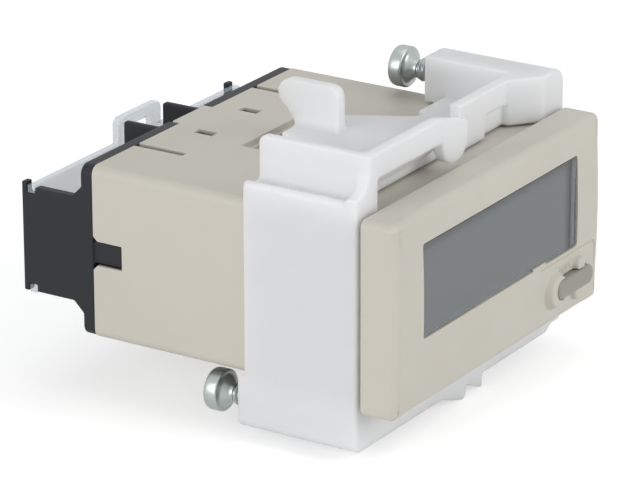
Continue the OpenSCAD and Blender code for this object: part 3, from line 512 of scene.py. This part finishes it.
class Workshop:
    """The loaded frame with the finishes, and the ways that pieces are made from it."""

    MERGE = 0.0005 * MM
    FLAT = math.radians(0.4)
    SOFTNESS = 0.5

    def __init__(self, frame: dict[str, dict]) -> None:
        """Keep the frame's nodes and make every finish.
        """
        self.nodes = frame["nodes"]
        effects = Effects()
        self.materials = {finish.slot: finish.build(effects) for finish in FINISHES}

    def dress(self, node: str, slot: Slot) -> None:
        """Give a node of the frame its finish.

        Args:
            node: The node's name.
            slot: The finish that it takes.
        """
        data = self.nodes[node].data
        data.materials.clear()
        data.materials.append(self.materials[slot])
        LOG.info("%s dressed in %s", node, slot.value)

    def solid_of(self, node: str) -> bmesh.types.BMesh:
        """Copy a node's triangles into one closed form with whole faces.

        Args:
            node: The node that is copied.

        Returns:
            The form, which the caller frees.
        """
        form = bmesh.new()
        form.from_mesh(self.nodes[node].data)
        bmesh.ops.remove_doubles(form, verts=form.verts, dist=self.MERGE)
        bmesh.ops.dissolve_limit(form, angle_limit=self.FLAT, verts=form.verts, edges=form.edges)
        return form

    @staticmethod
    def piece(name: str, form: bmesh.types.BMesh | None = None) -> bpy.types.Object:
        """Start a new piece.

        Args:
            name: The piece's name.
            form: Its first form, which is freed, or none for an empty mesh.

        Returns:
            The piece, at the origin.
        """
        mesh = bpy.data.meshes.new(name)
        if form:
            form.to_mesh(mesh)
            form.free()
        piece = bpy.data.objects.new(name, mesh)
        bpy.context.scene.collection.objects.link(piece)
        return piece

    @staticmethod
    def settle(piece: bpy.types.Object) -> None:
        """Turn a piece with its modifiers into a plain mesh.

        Args:
            piece: The piece.
        """
        graph = bpy.context.evaluated_depsgraph_get()
        result = piece.evaluated_get(graph)
        made = bpy.data.meshes.new_from_object(result, preserve_all_data_layers=True, depsgraph=graph)
        piece.modifiers.clear()
        piece.data = made
        made.name = piece.name

    @staticmethod
    def prism(outline: Outline, front: float, rear: float) -> bmesh.types.BMesh:
        """Sweep an outline along Y.

        Args:
            outline: Its corners in X and Z, in millimetres.
            front: Where the sweep starts along Y, in millimetres.
            rear: Where it ends.

        Returns:
            The closed form, which the caller frees.
        """
        form = bmesh.new()
        corners = [form.verts.new(Vector((across, front, up)) * MM) for across, up in outline]
        face = form.faces.new(corners)
        swept = bmesh.ops.extrude_face_region(form, geom=[face])
        for item in swept["geom"]:
            if isinstance(item, bmesh.types.BMVert):
                item.co.y = rear * MM
        bmesh.ops.recalc_face_normals(form, faces=form.faces)
        return form

    def block(self, across: Span, levels: Span, depths: Span) -> bmesh.types.BMesh:
        """Make a box.

        Args:
            across: Its ends along X, in millimetres.
            levels: Its ends along Z.
            depths: Its ends along Y.

        Returns:
            The closed form, which the caller frees.
        """
        (left, right), (low, high) = across, levels
        return self.prism([(left, low), (right, low), (right, high), (left, high)], *depths)

    def work_in(self, piece: bpy.types.Object, form: bmesh.types.BMesh, joinery: Joinery) -> None:
        """Add a closed form to a piece or cut it out of the piece.

        Args:
            piece: The piece, with a plain mesh.
            form: The form, which is freed.
            joinery: How it is worked in.
        """
        tool = self.piece("tool", form)
        worked = piece.modifiers.new("worked", "BOOLEAN")
        worked.operation = joinery.value
        worked.solver = "EXACT"
        worked.object = tool
        self.settle(piece)
        bpy.data.objects.remove(tool)

    def round_edges(self, piece: bpy.types.Object, rounding: Rounding) -> None:
        """Round the sharp edges of a piece.

        Args:
            piece: The piece, with a plain mesh.
            rounding: How its edges are rounded.
        """
        form = bmesh.new()
        form.from_mesh(piece.data)
        weight = form.edges.layers.float.new("bevel_weight_edge")
        for edge in form.edges:
            edge[weight] = rounding.share(edge)
        form.to_mesh(piece.data)
        form.free()
        piece.data.shade_smooth()
        round_off = piece.modifiers.new("round_off", "BEVEL")
        round_off.limit_method = "WEIGHT"
        round_off.width = rounding.widest
        round_off.segments = rounding.segments
        round_off.use_clamp_overlap = False
        even = piece.modifiers.new("even", "WEIGHTED_NORMAL")
        even.keep_sharp = True
        self.settle(piece)

    def melt(self, piece: bpy.types.Object, voxel: float, rounds: int, kept_share: float) -> None:
        """Soften every edge of a piece, as a mould does.

        Args:
            piece: The piece, with a plain mesh.
            voxel: The size of the grid that the piece is made over on, in millimetres.
            rounds: How often the surface is smoothed.
            kept_share: The share of the faces that is kept in the end.
        """
        grid = piece.modifiers.new("grid", "REMESH")
        grid.mode = "VOXEL"
        grid.voxel_size = voxel * MM
        soften = piece.modifiers.new("soften", "SMOOTH")
        soften.factor = self.SOFTNESS
        soften.iterations = rounds
        thin = piece.modifiers.new("thin", "DECIMATE")
        thin.ratio = kept_share
        self.settle(piece)
        piece.data.shade_smooth()

    def hand_over(self, piece: bpy.types.Object, body: Body, slot: Slot, *nodes: str) -> None:
        """Dress a finished piece and say what it rides on.

        Args:
            piece: The piece.
            body: The body that it rides on.
            slot: The finish that it takes.
            nodes: The nodes that it stands for.
        """
        piece.data.materials.clear()
        piece.data.materials.append(self.materials[slot])
        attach(piece, body.value)
        if nodes:
            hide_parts(*nodes)
        LOG.info("%s made with %d faces", piece.name, len(piece.data.polygons))

    def rounded(self, node: str, name: str, body: Body, slot: Slot, rounding: Rounding) -> None:
        """Copy a node with rounded edges and let the copy stand for it.

        Args:
            node: The node that is copied.
            name: The new piece's name.
            body: The body that it rides on.
            slot: The finish that it takes.
            rounding: How its edges are rounded.
        """
        piece = self.piece(name, self.solid_of(node))
        self.round_edges(piece, rounding)
        self.hand_over(piece, body, slot, node)


@dataclass
class Enclosure:
    """The beige case with its window, its display and its key. Sizes are in millimetres."""

    shop: Workshop
    bezel_width: float = 48.0
    bezel_height: float = 24.0
    front: float = -5.0
    crown_radius: float = 160.225
    corner_round: float = 0.9
    corner_edge_round: float = 0.88
    edge_round: float = 1.2
    edge_taper: float = 3.0
    edge_steps: int = 9
    corner_steps: int = 10
    run_step: float = 0.75
    guard_round: float = 0.2
    front_round: float = 0.06
    tooth_round: float = 0.05
    rear_round: float = 0.12
    crest_level: float = -5.06
    skin_level: float = -4.44
    mouth_low: Span = (12.0, -8.95)
    mouth_high: Span = (21.2, -6.05)
    pocket_half: Span = (22.0, 10.0)
    pocket_rear: float = 0.5
    inside_half: Span = (20.9, 9.4)
    tooth_half: Span = (7.0, 11.0)
    tooth_run: Span = (12.9, 27.5)
    cut_clear: float = 0.001
    cut_reach: float = 1.0
    cut_rear: float = 0.3
    key_round: float = 0.4
    key_segments: int = 4
    key_half_width: float = 4.2
    key_half_height: float = 1.1
    key_shoulder: float = -3.5
    key_fill: float = 0.17
    pane_step: float = -4.4
    pane_front: float = -4.72
    nib_ends: Span = (7.35, 10.55)
    nib_levels: Span = (-3.5, -3.05)
    word: str = "RESET"
    word_size: float = 1.1
    word_middle: Span = (15.2, -5.25)
    word_rise: float = 0.08
    word_sink: float = 0.1

    def build(self) -> None:
        """Make the case, the key, its moulded word and the pane, and dress the display."""
        shell = self.shop.piece("case_shell", self.shop.solid_of("case"))
        self.shop.work_in(shell, self._edge_cutter(), Joinery.CUT)
        self.shop.round_edges(shell, self._case_rounding())
        self.shop.hand_over(shell, Body.METER, Slot.CASE, "case")
        self._make_key()
        self._mould_word()
        self._make_pane()
        self.shop.dress("display_cell", Slot.DISPLAY)
        self.shop.dress("display_holder", Slot.WHITE)

    def _case_rounding(self) -> Rounding:
        """Say how the case's edges are rounded: the key's mouth and the inside stay sharp.

        Returns:
            The rounding.
        """
        (mouth_left, mouth_bottom), (mouth_right, mouth_top) = self.mouth_low, self.mouth_high
        pocket_x, pocket_z = self.pocket_half
        inside_x, inside_z = self.inside_half
        tooth_x, tooth_z = self.tooth_half
        tooth_front, tooth_rear = self.tooth_run
        crest, skin = self.crest_level, self.skin_level
        return Rounding(
            (
                Zone((mouth_left, -FAR, mouth_bottom), (mouth_right, crest, mouth_top), 0.0),
                Zone((-FAR, -FAR, -FAR), (FAR, crest, FAR), self.guard_round),
                Zone((-FAR, crest, -FAR), (FAR, skin, FAR), self.front_round),
                Zone((-pocket_x, skin, -pocket_z), (pocket_x, self.pocket_rear, pocket_z), 0.0),
                Zone((-inside_x, skin, -inside_z), (inside_x, FAR, inside_z), 0.0),
                Zone((-tooth_x, tooth_front, -tooth_z), (tooth_x, tooth_rear, tooth_z), self.tooth_round),
                Zone((-FAR, skin, -FAR), (FAR, FAR, FAR), self.rear_round),
            )
        )

    def _make_pane(self) -> None:
        """Make the clear pane, brought close behind the crowned front and notched round the nib."""
        form = self.shop.solid_of("display_window")
        for corner in form.verts:
            if corner.co.y < self.pane_step * MM:
                corner.co.y = self.pane_front * MM
        piece = self.shop.piece("front_pane", form)
        notch = self.shop.block(self.nib_ends, self.nib_levels, (self.front, self.pane_step))
        self.shop.work_in(piece, notch, Joinery.CUT)
        self.shop.hand_over(piece, Body.METER, Slot.WINDOW, "display_window")

    def _make_key(self) -> None:
        """Make the key with a full, rounded cap that nearly fills its opening."""
        form = self.shop.solid_of("reset_key")
        low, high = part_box("reset_key")
        middle_x, middle_z = (low.x + high.x) / 2, (low.z + high.z) / 2
        for corner in form.verts:
            if corner.co.y < self.key_shoulder * MM:
                corner.co.x += (corner.co.x - middle_x) * self.key_fill / self.key_half_width
                corner.co.z += (corner.co.z - middle_z) * self.key_fill / self.key_half_height
        piece = self.shop.piece("reset_button", form)
        cap = Zone((-FAR, -FAR, -FAR), (FAR, self.key_shoulder, FAR), self.key_round)
        self.shop.round_edges(piece, Rounding((cap,), self.key_segments))
        self.shop.hand_over(piece, Body.KEY, Slot.KEY, "reset_key")

    def _crown(self, height: float) -> float:
        """Give the place along Y of the crowned front at a height."""
        return self.front + self.crown_radius - math.sqrt(self.crown_radius**2 - height**2)

    def _outline(self) -> list[tuple[Vector, Vector, float]]:
        """Go once round the bezel seen from the front.

        Returns:
            Places on its outline, each with the way that points outwards there and the rounding it gets.
        """
        half_width = self.bezel_width / 2 - self.corner_round
        half_height = self.bezel_height / 2 - self.corner_round
        turns = ((1, 1), (-1, 1), (-1, -1), (1, -1))
        corners = [Vector((side * half_width, 0, level * half_height)) for side, level in turns]
        stations = []
        for quarter, (corner, following) in enumerate(zip(corners, corners[1:] + corners[:1])):
            for step in range(self.corner_steps + 1):
                angle = (quarter + step / self.corner_steps) * math.pi / 2
                way = Vector((math.cos(angle), 0, math.sin(angle)))
                stations.append((corner + way * self.corner_round, way, self.corner_edge_round))
            run = (following - corner).length
            count = round(run / self.run_step)
            for step in range(1, count):
                middle = corner.lerp(following, step / count)
                share = min(1.0, min(step, count - step) * run / count / self.edge_taper)
                rounding = self.corner_edge_round + share * (self.edge_round - self.corner_edge_round)
                stations.append((middle + way * self.corner_round, way, rounding))
        return stations

    def _spandrel(self, spot: Vector, way: Vector, rounding: float) -> list[Vector]:
        """Draw what a quarter round leaves outside at one place of the bezel's outline.

        Args:
            spot: The place on the outline.
            way: The way that points outwards.
            rounding: The radius of the quarter round.

        Returns:
            The corners of the closed profile.
        """
        clear, reach, rear = self.cut_clear, self.cut_reach, self.cut_rear
        middle = spot - way * rounding
        lean = math.atan(way.z * middle.z / math.sqrt(self.crown_radius**2 - middle.z**2))
        depth = self._crown(middle.z) + rounding / math.cos(lean)
        points = []
        for step in range(self.edge_steps + 1):
            angle = lean + (math.pi / 2 - lean) * step / self.edge_steps
            out = way * (rounding * math.sin(angle) + clear)
            points.append(middle + out + Vector((0, depth - rounding * math.cos(angle), 0)))
        ahead = Vector((0, self.front - reach, 0))
        points.append(spot + way * clear + Vector((0, rear, 0)))
        points.append(spot + way * reach + Vector((0, rear, 0)))
        points.append(spot + way * reach + ahead)
        points.append(Vector((points[0].x, 0, points[0].z)) + ahead)
        return points

    def _edge_cutter(self) -> bmesh.types.BMesh:
        """Sweep the profile round the bezel.

        Returns:
            The closed ring that rounds the bezel's front edges when it is taken away.
        """
        form = bmesh.new()
        rings = []
        for station in self._outline():
            rings.append([form.verts.new(point * MM) for point in self._spandrel(*station)])
        for ring, after in zip(rings, rings[1:] + rings[:1]):
            for index, corner in enumerate(ring):
                following = (index + 1) % len(ring)
                form.faces.new((corner, ring[following], after[following], after[index]))
        bmesh.ops.recalc_face_normals(form, faces=form.faces)
        return form

    def _mould_word(self) -> None:
        """Raise the key's plain word a little above the crowned front."""
        curve = bpy.data.curves.new("key_word", "FONT")
        curve.body = self.word
        curve.size = self.word_size
        curve.align_x = "CENTER"
        curve.align_y = "CENTER"
        curve.extrude = (self.word_rise + self.word_sink) / 2
        letters = bpy.data.objects.new("letters", curve)
        bpy.context.scene.collection.objects.link(letters)
        graph = bpy.context.evaluated_depsgraph_get()
        mesh = bpy.data.meshes.new_from_object(letters.evaluated_get(graph), depsgraph=graph)
        bpy.data.objects.remove(letters)
        middle_x, middle_z = self.word_middle
        for point in mesh.vertices:
            across, up, out = point.co
            height = middle_z + up
            depth = self._crown(height) - out + (self.word_sink - self.word_rise) / 2
            point.co = Vector((middle_x + across, depth, height)) * MM
        form = bmesh.new()
        form.from_mesh(mesh)
        bpy.data.meshes.remove(mesh)
        bmesh.ops.remove_doubles(form, verts=form.verts, dist=Workshop.MERGE)
        bmesh.ops.recalc_face_normals(form, faces=form.faces)
        self.shop.hand_over(self.shop.piece("key_word", form), Body.METER, Slot.CASE)


@dataclass
class Electronics:
    """The boards, the battery and the small parts inside the case."""

    shop: Workshop

    def build(self) -> None:
        """Dress every inner part."""
        finishes = {
            "contact_strips": Slot.RUBBER,
            "main_board": Slot.BOARD,
            "processor_chip": Slot.COMPONENT,
            "crystal": Slot.STEEL,
            "key_switch": Slot.COMPONENT,
            "battery": Slot.SLEEVE,
            "battery_cradle": Slot.COMPONENT,
            "battery_tabs": Slot.STEEL,
            "link_wires": Slot.COPPER,
            "rear_board": Slot.BOARD,
            "selector_body": Slot.COMPONENT,
            "range_selector": Slot.WHITE,
        }
        for node, slot in finishes.items():
            self.shop.dress(node, slot)


@dataclass
class TerminalEnd:
    """The black terminal block with its plates, screws and clear cover. Sizes are in millimetres."""

    shop: Workshop
    voxel: float = 0.13
    melting: int = 3
    kept_share: float = 0.2
    cover_round: float = 0.12
    screw_round: float = 0.08
    cheek_inner: float = 21.2
    cheek_outer: float = 22.4
    post_front: float = 47.8
    post_rear: float = 48.5
    post_low: float = 6.2
    post_top: float = 7.2
    foot_front: float = 46.55
    foot_level: float = 6.72
    beyond: float = 1.0

    def build(self) -> None:
        """Make the block, the screws and the cover, and dress the plates and washers."""
        self._make_block()
        self.shop.rounded(
            "terminal_screws", "terminal_bolts", Body.METER, Slot.STEEL, Rounding.even(self.screw_round)
        )
        self.shop.rounded(
            "terminal_cover", "finger_guard", Body.METER, Slot.CLEAR, Rounding.even(self.cover_round)
        )
        self.shop.dress("terminal_plates", Slot.BRASS)
        self.shop.dress("clamp_washers", Slot.STEEL)

    def _make_block(self) -> None:
        """Make the block with square posts at the top of its cheeks and flush lower ends."""
        piece = self.shop.piece("terminal_housing", self.shop.solid_of("terminal_block"))
        beyond = self.beyond
        levels = (-self.post_top - beyond, -self.foot_level)
        for side in (-1, 1):
            inner, outer = side * self.cheek_inner, side * self.cheek_outer
            depths = (self.post_front, self.post_rear)
            post = self.shop.block((inner, outer), (self.post_low, self.post_top), depths)
            self.shop.work_in(piece, post, Joinery.ADD)
            across = (inner - side * beyond, outer + side * beyond)
            foot = self.shop.block(across, levels, (self.foot_front, self.post_rear + beyond))
            self.shop.work_in(piece, foot, Joinery.CUT)
        self.shop.melt(piece, self.voxel, self.melting, self.kept_share)
        self.shop.hand_over(piece, Body.METER, Slot.BLACK, "terminal_block")


@dataclass
class PanelAdapter:
    """The white one-piece adapter, with the soft edges of its mould. Sizes are in millimetres."""

    shop: Workshop
    voxel: float = 0.16
    melting: int = 8
    kept_share: float = 0.25
    outer_x: float = 24.0
    ear_z: float = 17.0
    ear_front: float = 0.5
    ear_rear: float = 16.9
    ear_bar: float = 2.4
    ear_round: float = 1.0
    ear_steps: int = 6
    beyond: float = 1.0

    def build(self) -> None:
        """Work the lower ear's edge into a copy of the adapter and melt the copy a little."""
        piece = self.shop.piece("panel_adapter", self.shop.solid_of("mounting_adapter"))
        bar, waste = self._ear_edge()
        front, rear = self.ear_front, self.ear_rear
        self.shop.work_in(piece, self.shop.prism(bar, front, rear), Joinery.ADD)
        removed = self.shop.prism(waste, front - self.beyond, rear + self.beyond)
        self.shop.work_in(piece, removed, Joinery.CUT)
        self.shop.melt(piece, self.voxel, self.melting, self.kept_share)
        self.shop.hand_over(piece, Body.ADAPTER, Slot.ADAPTER, "mounting_adapter")

    def _ear_edge(self) -> tuple[Outline, Outline]:
        """Draw the lower ear's outer edge with its small radius.

        Returns:
            The outline in X and Z that fills the edge, clear of the screw's bore, and the outline of
            what lies outside its rounding.
        """
        arc = []
        for step in range(self.ear_steps + 1):
            angle = math.pi + step / self.ear_steps * math.pi / 2
            across = self.ear_round * (1 + math.cos(angle)) - self.outer_x
            up = self.ear_round * (1 + math.sin(angle)) - self.ear_z
            arc.append((across, up))
        inner_x, inner_z = self.ear_bar - self.outer_x, self.ear_bar - self.ear_z
        far_x, far_z = -self.outer_x - self.beyond, -self.ear_z - self.beyond
        bar = [(-self.outer_x, inner_z), *arc, (inner_x, -self.ear_z)]
        waste = [*arc, (arc[-1][0], far_z), (far_x, far_z), (far_x, arc[0][1])]
        return bar, waste


class ThreadTree:
    """A Geometry Nodes tree that turns a plain bar into a right-hand screw thread."""

    INPUTS = {
        "Core Radius": "NodeSocketFloat",
        "Ridge": "NodeSocketFloat",
        "Pitch": "NodeSocketFloat",
        "Length": "NodeSocketFloat",
        "Chamfer": "NodeSocketFloat",
        "Material": "NodeSocketMaterial",
    }
    SIDES = 40
    STEPS = 12

    def __init__(self) -> None:
        """Build the tree once: the bar's radius rises and falls along a helix and narrows at both ends."""
        geometry = {"Geometry": "NodeSocketGeometry"}
        sheet = Sheet.group("screw_thread", "GeometryNodeTree", self.INPUTS, geometry)
        size = sheet.add("NodeGroupInput").outputs
        rows = sheet.math("MULTIPLY", sheet.math("DIVIDE", size["Length"], size["Pitch"]), self.STEPS)
        values = {"Vertices": self.SIDES, "Side Segments": rows, "Radius": 1.0, "Depth": size["Length"]}
        bar = sheet.add("GeometryNodeMeshCylinder", values, fill_type="NGON")
        spot = sheet.add("GeometryNodeInputPosition").outputs["Position"]
        across, along, up = sheet.add("ShaderNodeSeparateXYZ", {"Vector": spot}).outputs
        turn = sheet.math("DIVIDE", sheet.math("ARCTAN2", along, across), math.tau)
        height = sheet.math("MULTIPLY_ADD", size["Length"], 0.5, up)
        wave = sheet.math("SUBTRACT", sheet.math("DIVIDE", height, size["Pitch"]), turn)
        rise = sheet.math("MULTIPLY", sheet.math("PINGPONG", wave, 0.5), 2.0)
        radius = sheet.math("MULTIPLY_ADD", rise, size["Ridge"], size["Core Radius"])
        crest = sheet.math("ADD", size["Core Radius"], size["Ridge"])
        blunt = sheet.math("SUBTRACT", crest, size["Chamfer"])
        tip = sheet.math("ADD", blunt, height)
        root = sheet.math("ADD", blunt, sheet.math("SUBTRACT", size["Length"], height))
        limited = sheet.math("MINIMUM", radius, sheet.math("MINIMUM", tip, root))
        moved_across = sheet.math("MULTIPLY", across, limited)
        moved_along = sheet.math("MULTIPLY", along, limited)
        moved = sheet.add("ShaderNodeCombineXYZ", {"X": moved_across, "Y": moved_along, "Z": up})
        shaped = sheet.add(
            "GeometryNodeSetPosition",
            {"Geometry": bar.outputs["Mesh"], "Position": moved.outputs["Vector"]},
        )
        whole = sheet.add("GeometryNodeRealizeInstances", {"Geometry": shaped.outputs["Geometry"]})
        dressed = sheet.add(
            "GeometryNodeSetMaterial",
            {"Geometry": whole.outputs["Geometry"], "Material": size["Material"]},
        )
        sheet.add("NodeGroupOutput", {"Geometry": dressed.outputs["Geometry"]})
        self.tree = sheet.tree

    def apply(self, piece: bpy.types.Object, values: dict[str, object]) -> None:
        """Put the tree on a piece.

        Args:
            piece: The piece that becomes a thread.
            values: Its inputs by name.
        """
        modifier = piece.modifiers.new("thread", "NODES")
        modifier.node_group = self.tree
        for item in self.tree.interface.items_tree:
            if item.item_type == "SOCKET" and item.name in values:
                modifier[item.identifier] = values[item.name]


@dataclass
class ClampScrew:
    """One clamp screw: its head with the neck, and its threaded shank.

    Sizes are in metres, apart from the roundings and their reach, which are in millimetres.
    """

    shop: Workshop
    thread: ThreadTree
    node: str
    name: str
    body: Body
    head_height: float = 2.2 * MM
    neck_length: float = 1.4 * MM
    neck_overlap: float = 0.05 * MM
    head_round: float = 0.08
    rim_round: float = 0.28
    rim_reach: float = 0.05
    round_segments: int = 3
    core_radius: float = 1.18 * MM
    ridge: float = 0.32 * MM
    pitch: float = 0.62 * MM
    chamfer: float = 0.45 * MM

    def build(self) -> None:
        """Make the head and the thread."""
        low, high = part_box(self.node)
        seat = high.y - self.head_height
        neck_end = seat - self.neck_length + self.neck_overlap
        self._make_head(seat, neck_end)
        self._make_thread(low, high, neck_end)

    def _make_head(self, seat: float, neck_end: float) -> None:
        """Cut the head with its neck off a copy of the node, and round its edges.

        Args:
            seat: Where the underside of the head lies along Y.
            neck_end: Where the neck ends along Y.
        """
        form = self.shop.solid_of(self.node)
        bmesh.ops.bisect_plane(
            form,
            geom=form.verts[:] + form.edges[:] + form.faces[:],
            plane_co=(0, neck_end, 0),
            plane_no=(0, 1, 0),
            clear_inner=True,
        )
        bmesh.ops.holes_fill(form, edges=[edge for edge in form.edges if edge.is_boundary])
        bmesh.ops.recalc_face_normals(form, faces=form.faces)
        piece = self.shop.piece(f"{self.name}_head", form)
        front, rear = seat / MM - self.rim_reach, seat / MM + self.rim_reach
        rim = Zone((-FAR, front, -FAR), (FAR, rear, FAR), self.rim_round)
        everywhere = Rounding.even(self.head_round).zones
        self.shop.round_edges(piece, Rounding((rim, *everywhere), self.round_segments))
        self.shop.hand_over(piece, self.body, Slot.ZINC, self.node)

    def _make_thread(self, low: Vector, high: Vector, top: float) -> None:
        """Make the threaded shank from its tip to the neck.

        Args:
            low: The node's lowest corner.
            high: The node's highest corner.
            top: Where the shank ends along Y.
        """
        length = top - low.y
        piece = self.shop.piece(f"{self.name}_thread")
        values = {
            "Core Radius": self.core_radius,
            "Ridge": self.ridge,
            "Pitch": self.pitch,
            "Length": length,
            "Chamfer": self.chamfer,
            "Material": self.shop.materials[Slot.ZINC],
        }
        self.thread.apply(piece, values)
        self.shop.settle(piece)
        middle = Vector(((low.x + high.x) / 2, low.y + length / 2, (low.z + high.z) / 2))
        piece.data.transform(Matrix.Translation(middle) @ Matrix.Rotation(-math.pi / 2, 4, "X"))
        piece.data.shade_smooth()
        self.shop.hand_over(piece, self.body, Slot.ZINC)


@dataclass(frozen=True)
class Lamp:
    """One soft studio lamp that looks at the part's middle."""

    name: str
    place: Point
    size: float
    power: float
    tint: Colour = (1.0, 1.0, 1.0)


@dataclass
class Studio:
    """The pale floor, the white surroundings, the lamps and the camera. Sizes are in metres."""

    azimuth: float = math.radians(-57.72)
    elevation: float = math.radians(20.46)
    roll: float = math.radians(-0.14)
    distance: float = 517.5 * MM
    focal_pixels: float = 4284.0
    frame_pixels: float = 640.0
    sensor: float = 36.0
    target: Point = (0.0, 20 * MM, 0.0)
    aim_right: float = 0.45 * MM
    aim_up: float = 1.73 * MM
    floor_size: float = 3.0
    ambient: float = 0.35
    floor_glow: float = 0.5
    floor_tone: float = 0.8
    floor_roughness: float = 0.9
    lamps: tuple[Lamp, ...] = (
        Lamp("side_lamp", (-0.55, 0.12, 0.16), 0.45, 1.56),
        Lamp("front_lamp", (0.1, -0.55, 0.24), 0.45, 1.5),
        Lamp("top_lamp", (0.1, 0.0, 0.6), 0.5, 0.6, (0.94, 0.97, 1.0)),
    )

    def build(self) -> None:
        """Set up the whole studio."""
        bpy.context.scene.view_settings.view_transform = "Standard"
        self._camera()
        self._world()
        self._floor()
        for lamp in self.lamps:
            self._lamp(lamp)

    def _camera(self) -> None:
        """Place the camera at the photograph's viewing angle."""
        back = Vector(
            (
                math.sin(self.azimuth) * math.cos(self.elevation),
                -math.cos(self.azimuth) * math.cos(self.elevation),
                math.sin(self.elevation),
            )
        )
        right = Vector((0, 0, 1)).cross(back).normalized()
        up = back.cross(right)
        right, up = (
            right * math.cos(self.roll) + up * math.sin(self.roll),
            up * math.cos(self.roll) - right * math.sin(self.roll),
        )
        data = bpy.data.cameras.new("camera")
        data.sensor_width = self.sensor
        data.sensor_fit = "HORIZONTAL"
        data.lens = self.focal_pixels * self.sensor / self.frame_pixels
        data.clip_start = self.distance / 100
        camera = bpy.data.objects.new("camera", data)
        place = Vector(self.target) + back * self.distance - right * self.aim_right - up * self.aim_up
        camera.matrix_world = Matrix.Translation(place) @ Matrix((right, up, back)).transposed().to_4x4()
        bpy.context.scene.collection.objects.link(camera)
        bpy.context.scene.camera = camera

    @staticmethod
    def _seen_directly(sheet: Sheet) -> bpy.types.NodeSocket:
        """Make a mask that is 1 for rays that show the surroundings.

        Args:
            sheet: The tree that gets the nodes.

        Returns:
            The mask, for camera, glossy and transmission rays.
        """
        rays = sheet.add("ShaderNodeLightPath").outputs
        seen = sheet.math("MAXIMUM", rays["Is Camera Ray"], rays["Is Glossy Ray"])
        return sheet.math("MAXIMUM", seen, rays["Is Transmission Ray"])

    def _world(self) -> None:
        """Make the surroundings white to the eye and a soft fill for the part."""
        world = bpy.data.worlds.new("surroundings")
        world.use_nodes = True
        bpy.context.scene.world = world
        sheet = Sheet(world.node_tree)
        background = world.node_tree.nodes["Background"]
        background.inputs["Color"].default_value = (1, 1, 1, 1)
        values = {"Value": self._seen_directly(sheet), "To Min": self.ambient, "To Max": 1.0}
        level = sheet.add("ShaderNodeMapRange", values)
        sheet.join(level.outputs["Result"], background.inputs["Strength"])

    def _floor(self) -> None:
        """Lay the floor under the part's lowest point."""
        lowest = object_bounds()[0].z
        half = self.floor_size / 2
        mesh = bpy.data.meshes.new("floor")
        turns = ((-1, -1), (1, -1), (1, 1), (-1, 1))
        corners = [(side * half, end * half, lowest) for side, end in turns]
        mesh.from_pydata(corners, [], [(0, 1, 2, 3)])
        floor = bpy.data.objects.new("floor", mesh)
        bpy.context.scene.collection.objects.link(floor)
        floor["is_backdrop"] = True
        material = bpy.data.materials.new("floor")
        material.use_nodes = True
        sheet = Sheet(material.node_tree)
        shader = material.node_tree.nodes["Principled BSDF"]
        shader.inputs["Base Color"].default_value = (*(self.floor_tone,) * 3, 1)
        shader.inputs["Roughness"].default_value = self.floor_roughness
        shader.inputs["Emission Color"].default_value = (1, 1, 1, 1)
        glow = sheet.math("MULTIPLY", self._seen_directly(sheet), self.floor_glow)
        sheet.join(glow, shader.inputs["Emission Strength"])
        mesh.materials.append(material)

    def _lamp(self, lamp: Lamp) -> None:
        """Add one lamp.

        Args:
            lamp: Its name, place, size, power and tint.
        """
        data = bpy.data.lights.new(lamp.name, "AREA")
        data.shape = "DISK"
        data.size = lamp.size
        data.energy = lamp.power
        data.color = lamp.tint
        light = bpy.data.objects.new(lamp.name, data)
        light.location = lamp.place
        light.rotation_euler = (Vector(lamp.place) - Vector(self.target)).to_track_quat("Z", "Y").to_euler()
        bpy.context.scene.collection.objects.link(light)


def main() -> None:
    """Build every sub-assembly and set up the studio."""
    logging.basicConfig(level=logging.INFO, format="%(message)s")
    for thing in list(bpy.data.objects):
        bpy.data.objects.remove(thing)
    shop = Workshop(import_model())
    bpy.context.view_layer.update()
    thread = ThreadTree()
    for assembly in (
        Enclosure(shop),
        Electronics(shop),
        TerminalEnd(shop),
        PanelAdapter(shop),
        ClampScrew(shop, thread, "upper_clamp_screw", "upper_screw", Body.UPPER_SCREW),
        ClampScrew(shop, thread, "lower_clamp_screw", "lower_screw", Body.LOWER_SCREW),
        Studio(),
    ):
        assembly.build()


if __name__ == "__main__":
    main()
